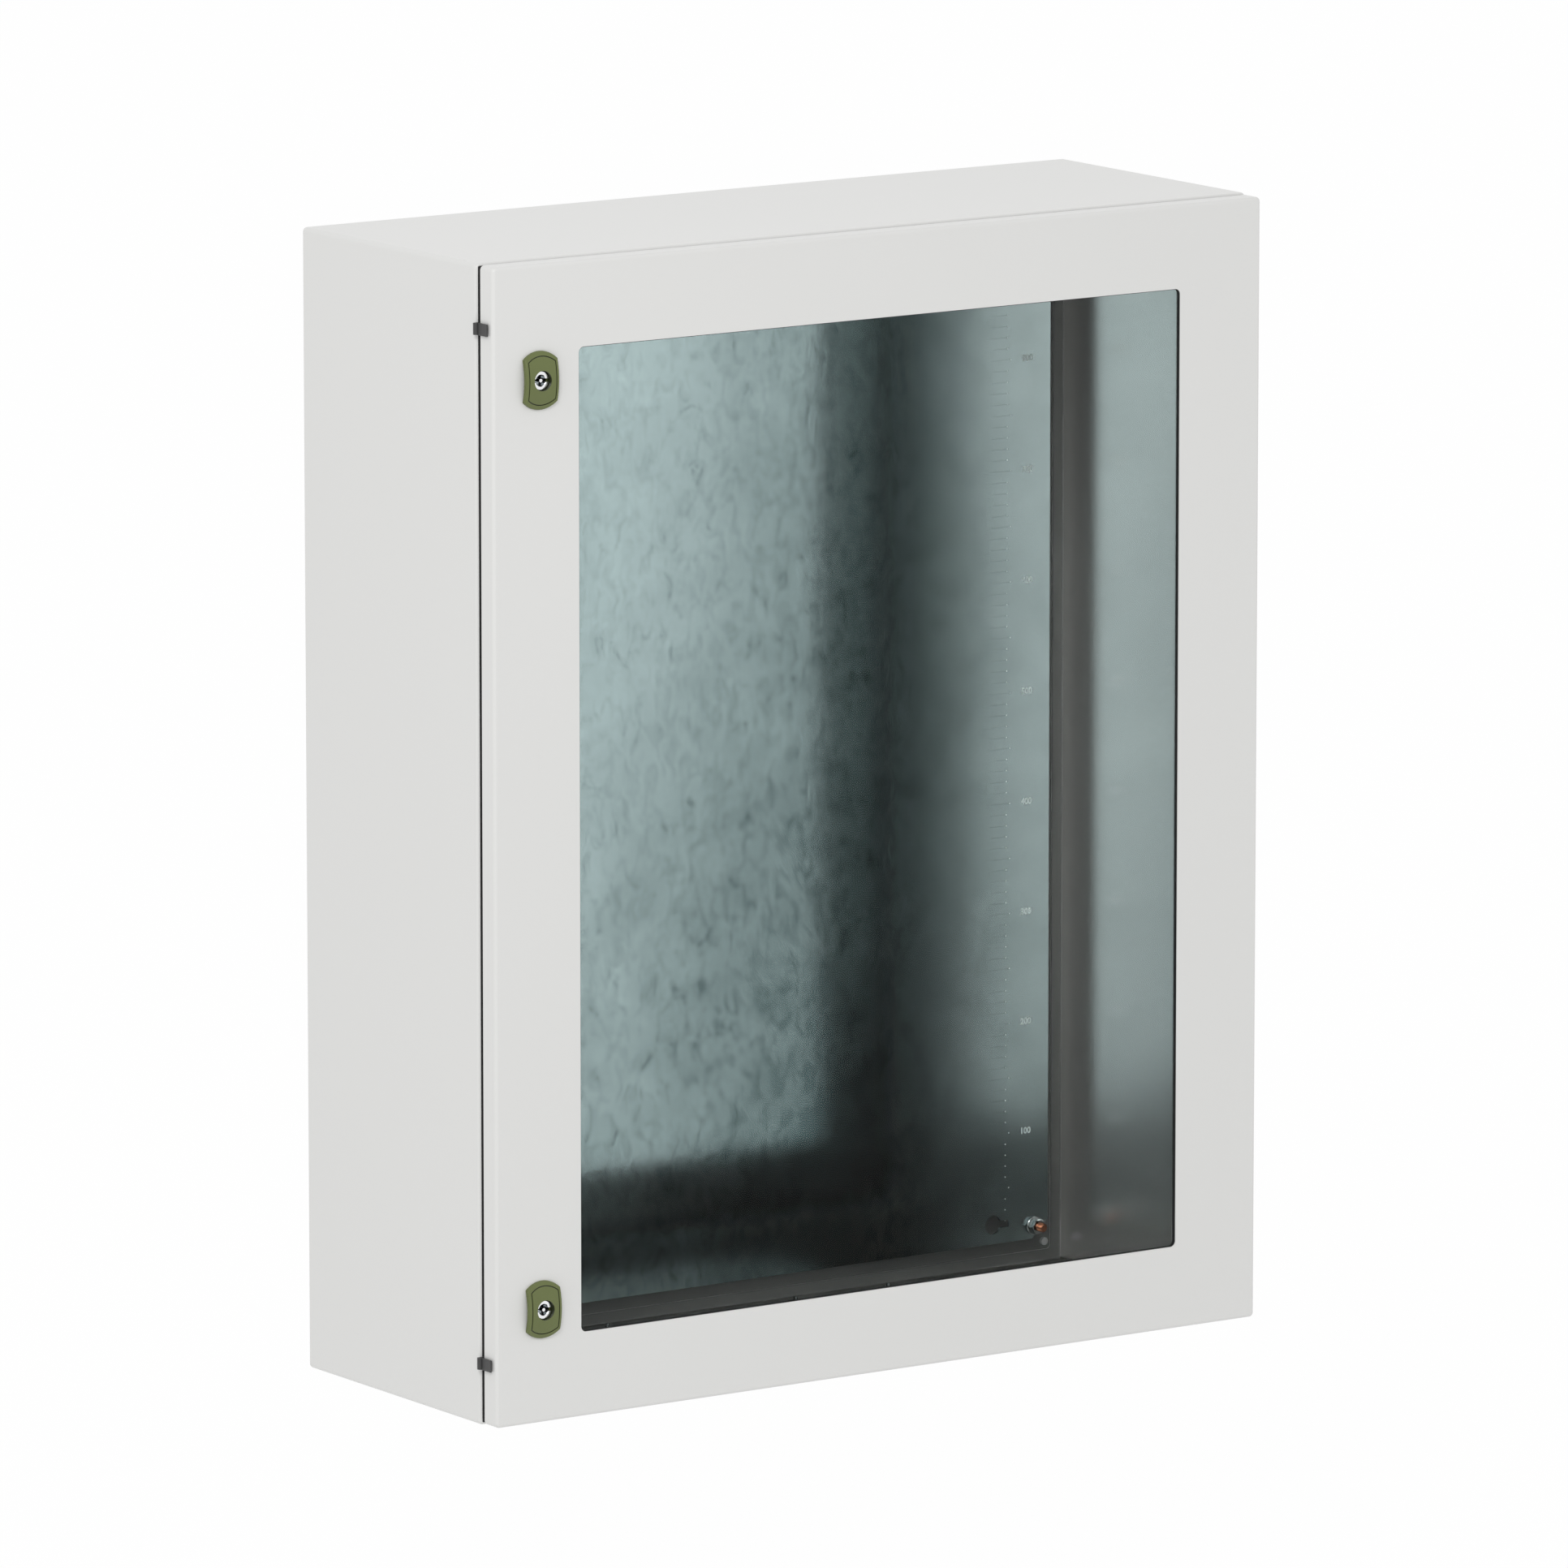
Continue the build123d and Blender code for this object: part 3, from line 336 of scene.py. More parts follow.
def placed_copies(shape, boxes, facing):
    """A copy of a shape for each box, its origin on the box's face towards that side and +Z along it."""
    facing = Vector(facing)
    turn = Vector((0, 0, 1)).rotation_difference(facing).to_matrix().to_4x4()
    pattern = bpy.data.meshes.new("pattern")
    shape.to_mesh(pattern)
    shape.free()
    group = bmesh.new()
    for low, high in boxes:
        reach = abs((high - low).dot(facing)) / 2
        first = len(group.verts)
        group.from_mesh(pattern)
        group.verts.ensure_lookup_table()
        place = Matrix.Translation((low + high) / 2 + reach * facing) @ turn
        bmesh.ops.transform(group, matrix=place, verts=group.verts[first:])
    bpy.data.meshes.remove(pattern)
    return group


def new_piece(name, shape, material, body, slot, *replaced):
    """Finish a modelled piece: its mesh, its finish and the body that it rides on; hide the CAD nodes it
    replaces. The slot is not used.
    """
    mesh = bpy.data.meshes.new(name)
    shape.to_mesh(mesh)
    shape.free()
    mesh.materials.append(material)
    piece = bpy.data.objects.new(name, mesh)
    bpy.context.scene.collection.objects.link(piece)
    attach(piece, body)
    if replaced:
        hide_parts(*replaced)


def threaded_studs(node, facing, pitch, tip, material, body, slot):
    """Studs with a real thread in place of the plain rods of a CAD node."""
    boxes = solid_boxes(node)
    size = boxes[0][1] - boxes[0][0]
    rod = thread_rod(max(size), min(size) / 2, pitch, tip)
    new_piece(f"threaded_{node}", placed_copies(rod, boxes, facing), material, body, slot, node)


copper_flash = plain_finish(
    "copper_flash", COPPER_BRIGHT, COPPER_SHADE, grain=1800, drift=220, roughness=0.18, relief=0.000008,
    metallic=1,
)
threaded_studs("plate_studs", (0, -1, 0), STUD_PITCH, STUD_TIP, copper_flash, "cabinet", "coppered_steel")

# Spacers, washers and nuts of the mounting plate: turned or pressed steel with bright zinc plating.
# The plating has a fine drawn grain and slightly uneven gloss.
ZINC_BRIGHT = (0.50, 0.52, 0.52, 1)
ZINC_SHADE = (0.32, 0.34, 0.34, 1)
ZINC_GRAIN = 2200
ZINC_DRIFT = 140
ZINC_RELIEF = 0.000008
GLOSSY_ROUGHNESS = 0.05
DULL_ROUGHNESS = 0.15
zinc_plating, tree, shader = new_finish("zinc_plating")
height, tone = add_coat(tree, ZINC_GRAIN, ZINC_DRIFT)
tree.links.new(add_blend(tree, tone, ZINC_SHADE, ZINC_BRIGHT), shader.inputs["Base Color"])
shader.inputs["Metallic"].default_value = 1
tree.links.new(add_range(tree, tone, GLOSSY_ROUGHNESS, DULL_ROUGHNESS), shader.inputs["Roughness"])
add_relief(tree, shader, height, ZINC_RELIEF)
dress(zinc_plating, "plate_spacers", "plate_washers", "plate_nuts")

# Mounting plate: galvanised steel sheet on the four studs. The zinc has a blue-green passivated cast, and its
# fine spangle is matt in smears, which break up the reflection of the window. The ruled edge is clean.
# The colour also carries a painted reflection: it is lighter towards the top and along a broad wave across
# the sheet, and darker towards the bottom and in the troughs of the wave.
# Ends of the plate's tone: painted light and painted shade of the reflection, with random cloud and smears
# between.
PLATE_TONE_AND_PAINTED_LIGHT = (0.485, 0.577, 0.590, 1)
PLATE_SMEAR_AND_PAINTED_SHADE = (0.112, 0.152, 0.156, 1)
REFLECTION_BAND_FORM = {"Scale": 0.64, "Distortion": 1.2, "Detail": 2, "Detail Scale": 3, "Phase Offset": 4.81}
REFLECTION_BAND_SHARE = 0.45
CLOUD_FORM = {"Scale": 18, "Detail": 4, "Distortion": 0.6}
CLOUD_SHARE = 0.20
SMEAR_FORM = {"Scale": 52, "Detail": 8, "Roughness": 0.6, "Distortion": 0.7}
SMEAR_STRETCH = (1.5, 1, 0.9)
SMEAR_EDGE = 0.54
SMEAR_SLOPE = 4
SMEAR_SHARE = 0.20
SPECK_EDGE = 0.37
SPECK_SLOPE = 20
SPECK_SHARE = 0.09
SMEAR_END = 0.25
SMEAR_FADE = 0.05
HANDLED_ROUGHNESS = 0.13
CLEAN_ROUGHNESS = 0.20
ROLLING_GRAIN = 0.25
SPANGLE_RELIEF = 0.00010
plate_low, plate_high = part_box("mounting_plate")
galvanised, tree, shader = new_finish("galvanised_plate")
axes = add_axes(tree)
# Painted light: the colour grows lighter towards the top of the plate.
painted_top_light = add_math(tree, "ADD", add_math(tree, "DIVIDE", axes["Z"], plate_high.z - plate_low.z), 0.5)
# Painted reflection: a broad wave across the plate lightens the colour in bands.
painted_reflection_band = add_node(tree, "ShaderNodeTexWave", REFLECTION_BAND_FORM, bands_direction="X")
cloud = add_node(tree, "ShaderNodeTexNoise", CLOUD_FORM)
stretch = add_node(tree, "ShaderNodeMapping", {"Scale": SMEAR_STRETCH})
smear = add_node(tree, "ShaderNodeTexNoise", SMEAR_FORM)
place = add_node(tree, "ShaderNodeTexCoord")
for pattern in (painted_reflection_band, cloud, stretch):
    tree.links.new(place.outputs["Object"], pattern.inputs["Vector"])
tree.links.new(stretch.outputs["Vector"], smear.inputs["Vector"])


def add_step(tree, term, slope):
    """The term times a slope, held between 0 and 1."""
    held = add_math(tree, "MAXIMUM", add_math(tree, "MULTIPLY", term, slope), 0)
    return add_math(tree, "MINIMUM", held, 1)


matt = add_step(tree, add_math(tree, "SUBTRACT", SMEAR_EDGE, smear.outputs["Fac"]), SMEAR_SLOPE)
speck = add_step(tree, add_math(tree, "SUBTRACT", SPECK_EDGE, smear.outputs["Fac"]), SPECK_SLOPE)
handled = add_step(tree, add_math(tree, "SUBTRACT", SMEAR_END, axes["X"]), 1 / SMEAR_FADE)
matt_share = add_math(tree, "MULTIPLY", matt, SMEAR_SHARE)
worn = add_math(tree, "ADD", matt_share, add_math(tree, "MULTIPLY", speck, SPECK_SHARE))
# The painted reflection wave and the painted top light set the tone; random cloud and the smears are added.
light = add_choice(tree, REFLECTION_BAND_SHARE, painted_top_light, painted_reflection_band.outputs["Fac"])
light = add_math(tree, "ADD", light, add_range(tree, cloud.outputs["Fac"], -CLOUD_SHARE, CLOUD_SHARE))
light = add_step(tree, add_math(tree, "SUBTRACT", light, add_math(tree, "MULTIPLY", worn, handled)), 1)
tree.links.new(add_blend(tree, light, PLATE_SMEAR_AND_PAINTED_SHADE, PLATE_TONE_AND_PAINTED_LIGHT), shader.inputs["Base Color"])
tree.links.new(add_range(tree, handled, CLEAN_ROUGHNESS, HANDLED_ROUGHNESS), shader.inputs["Roughness"])
shader.inputs["Metallic"].default_value = 1
shader.inputs["Anisotropic"].default_value = ROLLING_GRAIN
grain = add_node(tree, "ShaderNodeTangent", direction_type="RADIAL", axis="Z")
tree.links.new(grain.outputs["Tangent"], shader.inputs["Tangent"])
add_relief(tree, shader, smear.outputs["Fac"], SPANGLE_RELIEF)
dress(galvanised, "mounting_plate")

# Ruler on the mounting plate: dark marks every 10 mm up the right edge, longer every 50 mm, painted shade of
# engraved grooves. Each ends in a light dot, a painted glint, and the height in millimetres stands beside
# every hundred in the same painted glint. All of it is a hair proud.
MARK_STEP = 0.010
FIRST_MARK = 2
MARKS_PER_LONG = 5
MARKS_PER_NUMBER = 10
MARK_START = 0.309
MARK_END = 0.3264
LONG_MARK_END = 0.3302
MARK_WIDTH = 0.00014
MARK_DOT = 0.0009
MARK_PROUD = 0.00006
NUMBER_START = 0.3420
NUMBER_HEIGHT = 0.0054
NUMBER_WEIGHT = 0.00027
CAPITAL_SHARE = 0.7
# Line colours: painted shade of the engraved grooves.
LINE_LIGHT = (0.10, 0.13, 0.13, 1)
LINE_SHADE = (0.085, 0.1105, 0.1105, 1)
# Dot and digit colours: painted glints of the engraved tick ends and numerals.
PAINTED_GLINT_LIGHT = (0.80, 0.88, 0.87, 1)
PAINTED_GLINT_SHADE = (0.68, 0.748, 0.7395, 1)
MARK_GRAIN = {"grain": 4000, "drift": 300, "roughness": 0.5, "relief": 0.000005}


def add_bar(shape, start, stop, height, width):
    """A thin bar on the plate's face."""
    bar = bmesh.ops.create_cube(shape, size=1)["verts"]
    bmesh.ops.scale(shape, verts=bar, vec=(stop - start, 2 * MARK_PROUD, width))
    bmesh.ops.translate(shape, verts=bar, vec=((start + stop) / 2, plate_low.y, height))


lines, glints = bmesh.new(), bmesh.new()
mark_count = round((plate_high.z - plate_low.z) / MARK_STEP)
for count in range(FIRST_MARK, mark_count + 1 - FIRST_MARK):
    height = plate_low.z + count * MARK_STEP
    end = LONG_MARK_END if count % MARKS_PER_LONG == 0 else MARK_END
    add_bar(lines, MARK_START, end - MARK_DOT, height, MARK_WIDTH)
    add_bar(glints, end - MARK_DOT, end, height, MARK_DOT)
for count in range(MARKS_PER_NUMBER, mark_count, MARKS_PER_NUMBER):
    text = bpy.data.curves.new("number", "FONT")
    text.body = str(round(1000 * count * MARK_STEP))
    text.size = NUMBER_HEIGHT / CAPITAL_SHARE
    text.offset = NUMBER_WEIGHT
    text.extrude = MARK_PROUD
    text.align_y = "CENTER"
    carrier = bpy.data.objects.new("number", text)
    bpy.context.scene.collection.objects.link(carrier)
    bpy.context.view_layer.update()
    digits = bpy.data.meshes.new_from_object(carrier.evaluated_get(bpy.context.evaluated_depsgraph_get()))
    digits.transform(
        Matrix.Translation((NUMBER_START, plate_low.y, plate_low.z + count * MARK_STEP))
        @ Matrix.Rotation(math.pi / 2, 4, "X")
    )
    glints.from_mesh(digits)
    bpy.data.objects.remove(carrier)
    bpy.data.meshes.remove(digits)
# Dark tick lines: painted shade in the grooves.
ruler_groove_shade = plain_finish("engraved_mark", LINE_LIGHT, LINE_SHADE, **MARK_GRAIN)
# Light dots and digits: painted glints.
painted_glint_finish = plain_finish("painted_glint_finish", PAINTED_GLINT_LIGHT, PAINTED_GLINT_SHADE, **MARK_GRAIN)
new_piece("ruler_lines", lines, ruler_groove_shade, "cabinet", "galvanised_steel")
new_piece("ruler_painted_glints", glints, painted_glint_finish, "cabinet", "galvanised_steel")

# Gland plate, its gasket and its screws: a blank painted sheet on a flat rubber frame closes the cable
# opening in the floor, and countersunk cross-recessed screws from below hold both.
RUBBER_LIGHT = (0.020, 0.020, 0.020, 1)
RUBBER_SHADE = (0.008, 0.008, 0.008, 1)
SCREW_PITCH = 0.0007
SCREW_RADIUS = 0.002
SCREW_HEAD_RADIUS = 0.00375
RECESS_ARM = 0.0021
RECESS_HALF = 0.00055
RECESS_DEPTH = 0.0014
RECESS_TAPER = 0.6
ROUND_STEPS = 32


def recessed_screw(length):
    """A countersunk screw that hangs from its head at the origin, with a cross recess in the head."""
    head_height = SCREW_HEAD_RADIUS - SCREW_RADIUS
    shape = thread_rod(length - head_height, SCREW_RADIUS, SCREW_PITCH, 0)
    bmesh.ops.translate(shape, verts=shape.verts, vec=(0, 0, -head_height))
    rims = []
    for radius, height in ((SCREW_RADIUS, -head_height), (SCREW_HEAD_RADIUS, 0)):
        ring = bmesh.ops.create_circle(shape, radius=radius, segments=ROUND_STEPS)["verts"]
        bmesh.ops.translate(shape, verts=ring, vec=(0, 0, height))
        rims.append(list(dict.fromkeys(edge for vert in ring for edge in vert.link_edges)))
    bmesh.ops.bridge_loops(shape, edges=rims[0] + rims[1])
    corners = []
    for quarter in range(4):
        turn = Matrix.Rotation(quarter * math.pi / 2, 3, "Z")
        arm = ((RECESS_HALF, RECESS_HALF), (RECESS_HALF, RECESS_ARM), (-RECESS_HALF, RECESS_ARM))
        corners += [shape.verts.new(turn @ Vector((across, along, 0))) for across, along in arm]
    recess = [shape.edges.new(pair) for pair in zip(corners, corners[1:] + corners[:1])]
    bmesh.ops.triangle_fill(shape, edges=rims[1] + recess, use_beauty=True, normal=(0, 0, 1))
    wall = bmesh.ops.extrude_edge_only(shape, edges=recess)["geom"]
    floor_verts = [part for part in wall if isinstance(part, bmesh.types.BMVert)]
    bmesh.ops.translate(shape, verts=floor_verts, vec=(0, 0, -RECESS_DEPTH))
    bmesh.ops.scale(shape, verts=floor_verts, vec=(RECESS_TAPER, RECESS_TAPER, 1))
    floor_edges = [
        part for part in wall
        if isinstance(part, bmesh.types.BMEdge) and all(vert in floor_verts for vert in part.verts)
    ]
    bmesh.ops.contextual_create(shape, geom=floor_edges)
    bmesh.ops.recalc_face_normals(shape, faces=shape.faces)
    return shape


def recessed_screws(node, facing, body):
    """Cross-recessed screws in place of the plain ones of a CAD node."""
    boxes = solid_boxes(node)
    length = abs((boxes[0][1] - boxes[0][0]).dot(Vector(facing)))
    screws = placed_copies(recessed_screw(length), boxes, facing)
    new_piece(f"recessed_{node}", screws, zinc_plating, body, "zinc_plated_steel", node)


seal_rubber = plain_finish(
    "seal_rubber", RUBBER_LIGHT, RUBBER_SHADE, grain=1500, drift=80, roughness=0.7, relief=0.00003
)
dress(seal_rubber, "gland_gasket")
dress(powder_coat("gland_paint"), "gland_plate")
recessed_screws("gland_screws", (0, 0, -1), "cabinet")

# Cabinet earth stud: a copper-flashed threaded stud welded to the floor behind the rim, with a zinc-plated
# flanged nut for the earth lead.
dress(zinc_plating, "cabinet_earth_nut")
threaded_studs(
    "cabinet_earth_stud", (0, 0, 1), STUD_PITCH, STUD_TIP, copper_flash, "cabinet", "coppered_steel"
)

# Hinges: die-cast leaves with a black coat on the cabinet rim and the door edge, joined by a turned steel pin
# with a head. Countersunk screws and small nuts hold the leaves.
HINGE_LIGHT = (0.045, 0.045, 0.046, 1)
HINGE_SHADE = (0.030, 0.030, 0.031, 1)
hinge_coat = plain_finish(
    "hinge_coat", HINGE_LIGHT, HINGE_SHADE, grain=1200, drift=40, roughness=0.5, relief=0.00004
)
for end in ("upper", "lower"):
    dress(hinge_coat, f"hinge_frame_leaf_{end}", f"hinge_door_leaf_{end}")
    dress(zinc_plating, f"hinge_pin_{end}")
dress(zinc_plating, "frame_leaf_nuts", "door_leaf_nuts")
recessed_screws("frame_leaf_screws", (0, -1, 0), "cabinet")
recessed_screws("door_leaf_screws", (1, 0, 0), "door")

# Blanking clips: black moulded plastic covers, snapped over the two unused hinge places at the left so that
# the door can be hung on either side.
CLIP_LIGHT = (0.050, 0.050, 0.050, 1)
CLIP_SHADE = (0.036, 0.036, 0.036, 1)
clip_plastic = plain_finish(
    "clip_plastic", CLIP_LIGHT, CLIP_SHADE, grain=2500, drift=50, roughness=0.46, relief=0.00003
)
dress(clip_plastic, "blanking_clip_upper", "blanking_clip_lower")

# Door: a folded steel tray with the window cut-out, powder coated as the cabinet, with the same smooth
# reflective coat inside.
DOOR_INSIDE = {"sheen": 0.85, "roughness": 0.26, "colour": (0.85, 0.85, 0.83, 1)}
DOOR_SHEET_INSIDE = 0.0016
door_low, door_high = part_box("door_panel")
door_reach = (door_high.x - DOOR_SHEET_INSIDE, door_high.z - DOOR_SHEET_INSIDE)
door_paint = powder_coat("door_paint", (DOOR_INSIDE, (*door_reach, door_low.y + DOOR_SHEET_INSIDE, BEYOND)))
dress(door_paint, "door_panel")

# Door seal: a dark foam bead, poured round the inside of the door where it meets the cabinet's lip.
# Its skin is finely pitted.
seal_foam = plain_finish(
    "seal_foam", RUBBER_LIGHT, RUBBER_SHADE, grain=700, drift=80, roughness=0.7, relief=0.0002
)
dress(seal_foam, "door_seal")

# Window: one pane of toughened glass with a faint green tint, bedded on a black rubber frame behind the door
# sheet, with a lip that lines the cut edge. Folded painted strips on copper-flashed weld studs clamp it.
GLASS_TINT = (0.95, 0.98, 0.97, 1)
GLASS_IOR = 1.12
CLAMP_SHADE = (0.95, 0.92, 0.91, 1)
SMALL_TIP = 0.0004
dress(seal_rubber, "window_seal")
window_glass, tree, shader = new_finish("window_glass")
shader.inputs["Base Color"].default_value = GLASS_TINT
shader.inputs["Transmission Weight"].default_value = 1
shader.inputs["Roughness"].default_value = 0
shader.inputs["IOR"].default_value = GLASS_IOR
dress(window_glass, "window_glass")
clamp_paint = plain_finish(
    "clamp_paint", WALL_INSIDE["colour"], CLAMP_SHADE, grain=PEEL_PER_METRE, drift=TONE_PER_METRE,
    roughness=WALL_INSIDE["roughness"], relief=PEEL_HEIGHT, metallic=WALL_INSIDE["sheen"],
)
dress(clamp_paint, "glass_clamp_left", "glass_clamp_right", "glass_clamp_top", "glass_clamp_bottom")
dress(zinc_plating, "clamp_nuts")
threaded_studs("clamp_studs", (0, 1, 0), SCREW_PITCH, SMALL_TIP, copper_flash, "door", "coppered_steel")

# Door earth stud: as on the cabinet's floor, inside the door at its lower hinge corner.
# A flanged nut clamps the earth lead.
dress(zinc_plating, "door_earth_nut")
threaded_studs("door_earth_stud", (0, 1, 0), STUD_PITCH, STUD_TIP, copper_flash, "door", "coppered_steel")

# Locks: olive green moulded housings on the door, each held by a steel nut from inside. A plated quarter-turn
# core for a double-bit key turns in it and carries a flat steel cam behind the rim. The groove round the face
# and the wall of the hole round the core are painted dark as painted shade; the core's recessed socket is
# painted darker and its key slot black, as painted shade too.
OLIVE_LIGHT = (0.128, 0.155, 0.046, 1)
OLIVE_SHADE = (0.110, 0.133, 0.038, 1)
# Painted shade in the groove round the face and on the wall of the hole round the core.
GROOVE_PAINTED_SHADE = (0.030, 0.037, 0.014, 1)
CROWN_RADIUS = 0.065
GROOVE_HALF_DEPTH = 0.00035
FACE_REACH = 0.0145
FACE_RADIUS = 0.0222
SOCKET_DEPTH = 0.0006
# Core socket and key slot: painted shade, darker in the recess and black in the slot.
SOCKET_PAINTED_SHADE = (0.62, 0.65, 0.66, 1)
SLOT_PAINTED_SHADE = (0.012, 0.012, 0.012, 1)
SLOT_HALF = 0.0014
HOUSING_GRAIN = 3000
HOUSING_DRIFT = 30
HOUSING_ROUGHNESS = 0.42
HOUSING_RELIEF = 0.00002
CHROME_LIGHT = (0.90, 0.91, 0.92, 1)
CHROME_SHADE = (0.82, 0.83, 0.84, 1)
CHROME_GRAIN = 3000
CHROME_DRIFT = 120
CHROME_ROUGHNESS = 0.16
CHROME_RELIEF = 0.000003
housing_plastic, tree, shader = new_finish("housing_plastic")
height, tone = add_coat(tree, HOUSING_GRAIN, HOUSING_DRIFT)
olive = add_blend(tree, tone, OLIVE_SHADE, OLIVE_LIGHT)
housing_low, housing_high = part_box("lock_housing_upper")
middle = (housing_low + housing_high) / 2
axes = add_axes(tree)
across = add_math(tree, "ABSOLUTE", add_math(tree, "SUBTRACT", axes["X"], middle.x))
along = add_math(tree, "SUBTRACT", add_math(tree, "ABSOLUTE", axes["Z"]), middle.z)
inward = add_math(tree, "SUBTRACT", axes["Y"], housing_low.y + CROWN_RADIUS)


def add_distance(tree, first, second):
    """The length of two sides at a right angle."""
    squares = [add_math(tree, "MULTIPLY", length, length) for length in (first, second)]
    return add_math(tree, "SQRT", add_math(tree, "ADD", *squares))


# Mask of the painted shade: surfaces sunk below the crowned face, in the groove and round the core.
face_groove_shade = add_product(
    tree,
    add_math(tree, "LESS_THAN", add_distance(tree, along, inward), CROWN_RADIUS - GROOVE_HALF_DEPTH),
    add_math(tree, "LESS_THAN", across, FACE_REACH),
    add_math(tree, "LESS_THAN", add_distance(tree, across, along), FACE_RADIUS),
    add_math(tree, "LESS_THAN", axes["Y"], door_low.y),
)
tree.links.new(add_blend(tree, face_groove_shade, olive, GROOVE_PAINTED_SHADE), shader.inputs["Base Color"])
shader.inputs["Roughness"].default_value = HOUSING_ROUGHNESS
add_relief(tree, shader, height, HOUSING_RELIEF)
core_chrome, tree, shader = new_finish("core_chrome")
height, tone = add_coat(tree, CHROME_GRAIN, CHROME_DRIFT)
plating = add_blend(tree, tone, CHROME_SHADE, CHROME_LIGHT)
axes = add_axes(tree)
core_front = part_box("lock_core_upper")[0].y
socket = add_math(tree, "GREATER_THAN", axes["Y"], core_front + SOCKET_DEPTH)
sideways = add_math(tree, "SUBTRACT", add_math(tree, "ABSOLUTE", axes["Z"]), middle.z)
slot = add_math(tree, "LESS_THAN", add_math(tree, "ABSOLUTE", sideways), SLOT_HALF)
# Painted shade: the recessed socket darker and the key slot black.
plating = add_blend(tree, socket, plating, SOCKET_PAINTED_SHADE)
plating = add_blend(tree, add_product(tree, socket, slot), plating, SLOT_PAINTED_SHADE)
tree.links.new(plating, shader.inputs["Base Color"])
shader.inputs["Metallic"].default_value = 1
shader.inputs["Roughness"].default_value = CHROME_ROUGHNESS
add_relief(tree, shader, height, CHROME_RELIEF)
for end in ("upper", "lower"):
    dress(housing_plastic, f"lock_housing_{end}")
    dress(core_chrome, f"lock_core_{end}")
    dress(zinc_plating, f"lock_nut_{end}", f"lock_cam_{end}", f"cam_screw_{end}")

# Studio: a pale floor below the hanging cabinet, clear when seen from underneath, an even white surround and
# one soft lamp from the upper left, which draws light lines along the folds.
FLOOR_REACH = 20
FLOOR_DROP = 0.3
FLOOR_COLOUR = (0.96, 0.96, 0.96, 1)
FLOOR_ROUGHNESS = 0.9
FLOOR_GLOW = 0.97
WHITE = (1, 1, 1, 1)
LAMP_PLACE = Vector((-3.0, -3.2, 2.8))
LAMP_AIM = Vector((0, -0.2, 0.1))
LAMP_SIZE = 1.2
LAMP_WATTS = 58
SURROUND_LIGHT = 0.79


def add_shown(tree):
    """1 for the rays that show the background: to the camera, off glossy surfaces and through glass."""
    path = add_node(tree, "ShaderNodeLightPath")
    mirrored = add_math(tree, "MAXIMUM", path.outputs["Is Glossy Ray"], path.outputs["Is Transmission Ray"])
    return add_math(tree, "MAXIMUM", path.outputs["Is Camera Ray"], mirrored)


def add_mix(tree, factor, first, second):
    """A mix of two shaders."""
    mix = add_node(tree, "ShaderNodeMixShader")
    tree.links.new(factor, mix.inputs["Fac"])
    tree.links.new(first, mix.inputs[1])
    tree.links.new(second, mix.inputs[2])
    return mix.outputs["Shader"]


shape = bmesh.new()
bmesh.ops.create_grid(shape, x_segments=1, y_segments=1, size=FLOOR_REACH)
bmesh.ops.translate(shape, verts=shape.verts, vec=(0, 0, cad_low.z - FLOOR_DROP))
mesh = bpy.data.meshes.new("studio_floor")
shape.to_mesh(mesh)
shape.free()
floor = bpy.data.objects.new("studio_floor", mesh)
bpy.context.scene.collection.objects.link(floor)
floor_white, tree, shader = new_finish("floor_white")
shader.inputs["Base Color"].default_value = FLOOR_COLOUR
shader.inputs["Roughness"].default_value = FLOOR_ROUGHNESS
shader.inputs["Specular IOR Level"].default_value = 0
glow = add_node(tree, "ShaderNodeEmission", {"Color": WHITE, "Strength": 1})
clear = add_node(tree, "ShaderNodeBsdfTransparent")
side = add_node(tree, "ShaderNodeNewGeometry")
shown = add_math(tree, "MULTIPLY", add_shown(tree), FLOOR_GLOW)
top = add_mix(tree, shown, shader.outputs["BSDF"], glow.outputs["Emission"])
both = add_mix(tree, side.outputs["Backfacing"], top, clear.outputs["BSDF"])
tree.links.new(both, tree.nodes["Material Output"].inputs["Surface"])
mesh.materials.append(floor_white)

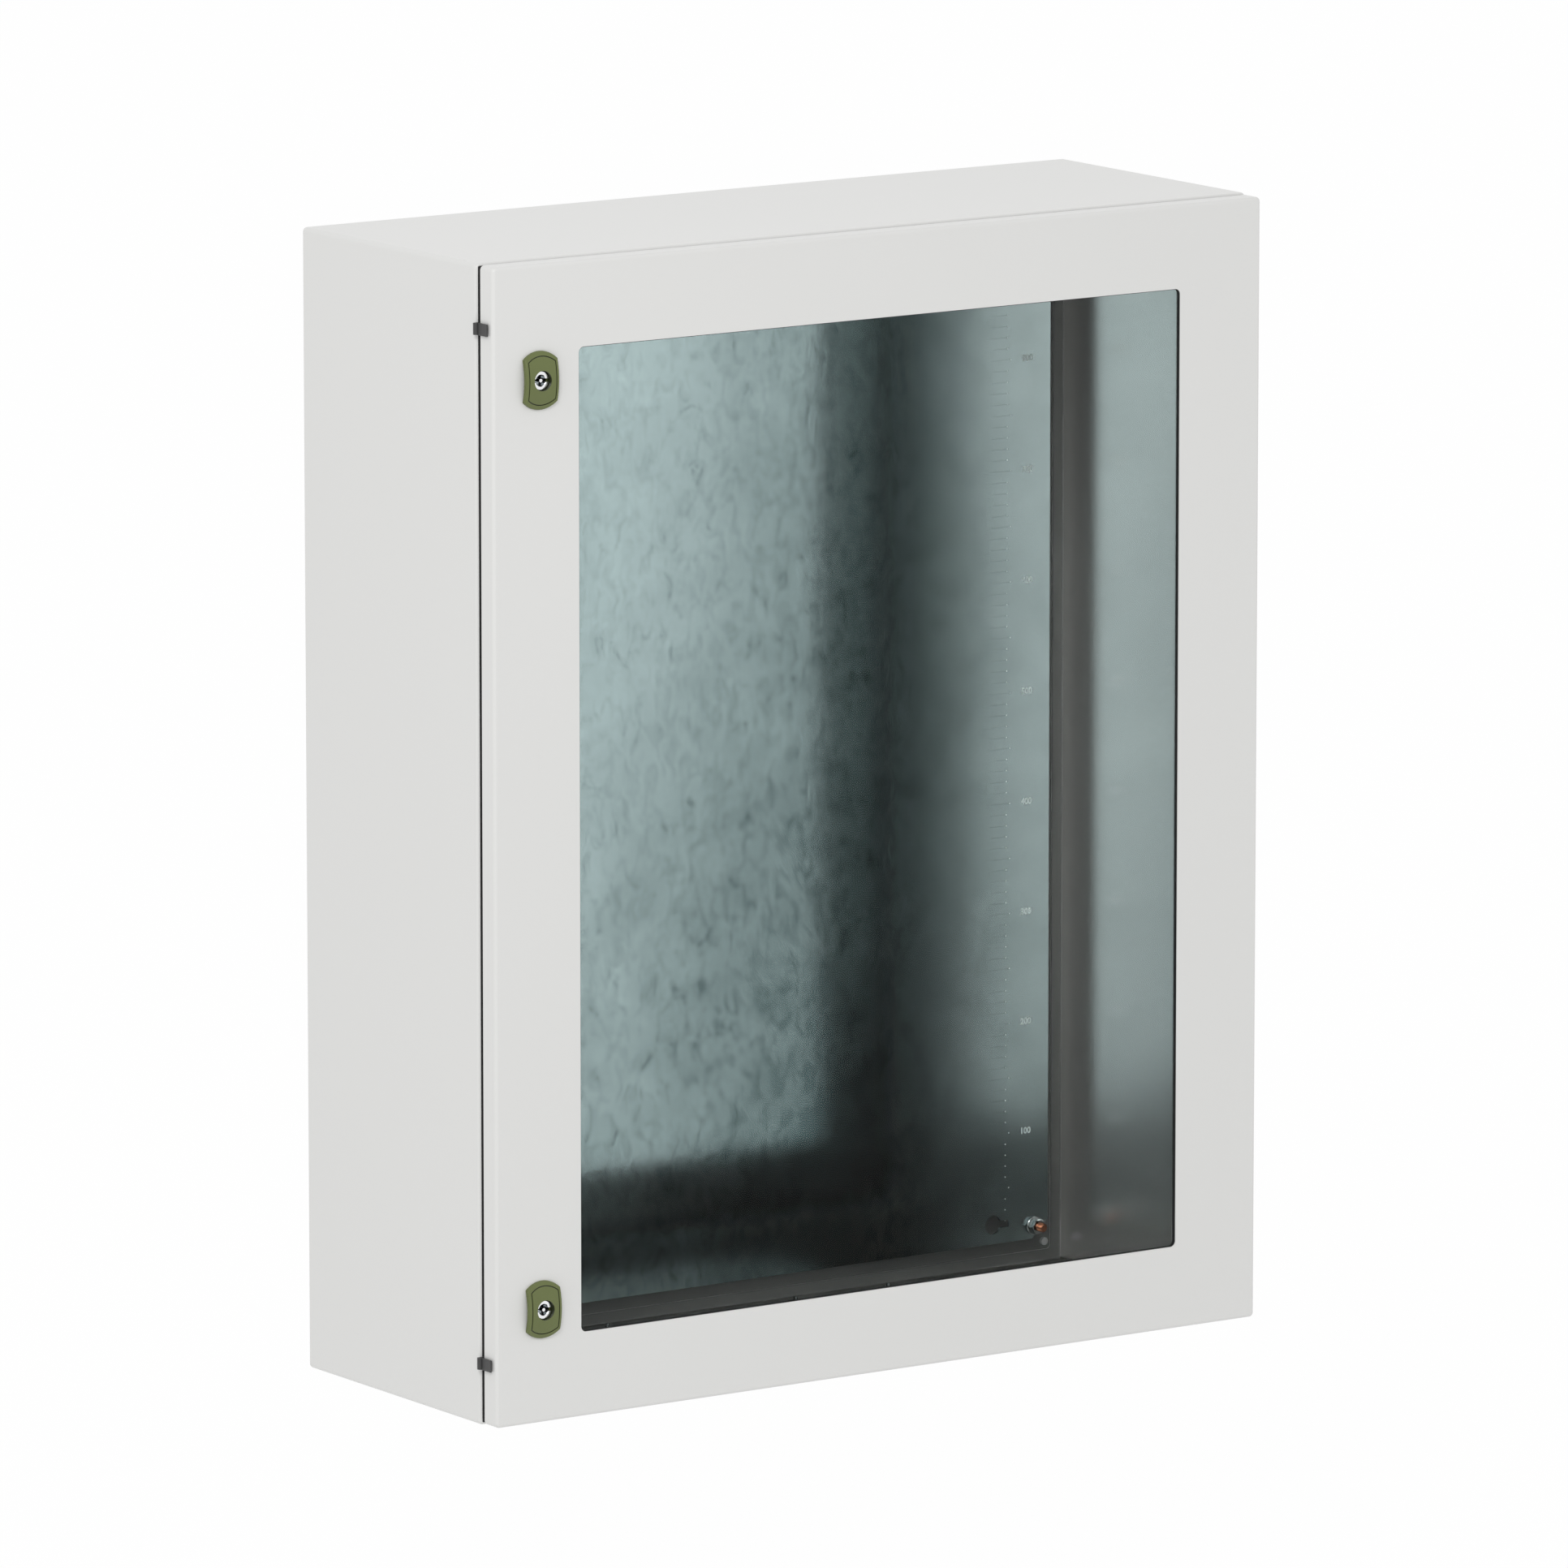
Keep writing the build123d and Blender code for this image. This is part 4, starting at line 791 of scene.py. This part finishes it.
lamp = bpy.data.objects.new("soft_lamp", bpy.data.lights.new("soft_lamp", "AREA"))
bpy.context.scene.collection.objects.link(lamp)
lamp.data.size = LAMP_SIZE
lamp.data.energy = LAMP_WATTS
lamp_turn = (LAMP_AIM - LAMP_PLACE).to_track_quat("-Z", "Y").to_matrix().to_4x4()
lamp.matrix_world = Matrix.Translation(LAMP_PLACE) @ lamp_turn

world = bpy.data.worlds.new("studio_surround")
bpy.context.scene.world = world
world.use_nodes = True
tree = world.node_tree
light = tree.nodes["Background"]
light.inputs["Color"].default_value = WHITE
light.inputs["Strength"].default_value = SURROUND_LIGHT
white = add_node(tree, "ShaderNodeBackground", {"Color": WHITE, "Strength": 1})
backdrop = add_mix(tree, add_shown(tree), light.outputs["Background"], white.outputs["Background"])
tree.links.new(backdrop, tree.nodes["World Output"].inputs["Surface"])

# Camera: at the photograph's angle, a little above the cabinet and to its left. It stands far away with a
# long lens, so that the upright edges stay nearly parallel.
CAMERA_AZIMUTH = 0.5963
CAMERA_ELEVATION = 0.1766
CAMERA_DISTANCE = 11.947
CAMERA_SIDE = -0.0012
CAMERA_RISE = -0.0028
CAMERA_AIM = Vector((0, -0.150, 0))
LENS = 315.2
VIEW_END = 100
forward = Vector((
    math.sin(CAMERA_AZIMUTH) * math.cos(CAMERA_ELEVATION),
    math.cos(CAMERA_AZIMUTH) * math.cos(CAMERA_ELEVATION),
    -math.sin(CAMERA_ELEVATION),
))
right = Vector((math.cos(CAMERA_AZIMUTH), -math.sin(CAMERA_AZIMUTH), 0))
up = right.cross(forward)
camera = bpy.data.objects.new("camera", bpy.data.cameras.new("camera"))
bpy.context.scene.collection.objects.link(camera)
camera.data.lens = LENS
camera.data.clip_end = VIEW_END
camera.matrix_world = Matrix.Translation(
    CAMERA_AIM - CAMERA_DISTANCE * forward + CAMERA_SIDE * right + CAMERA_RISE * up
) @ Matrix((right, up, -forward)).transposed().to_4x4()
bpy.context.scene.camera = camera
bpy.context.scene.view_settings.view_transform = "Standard"
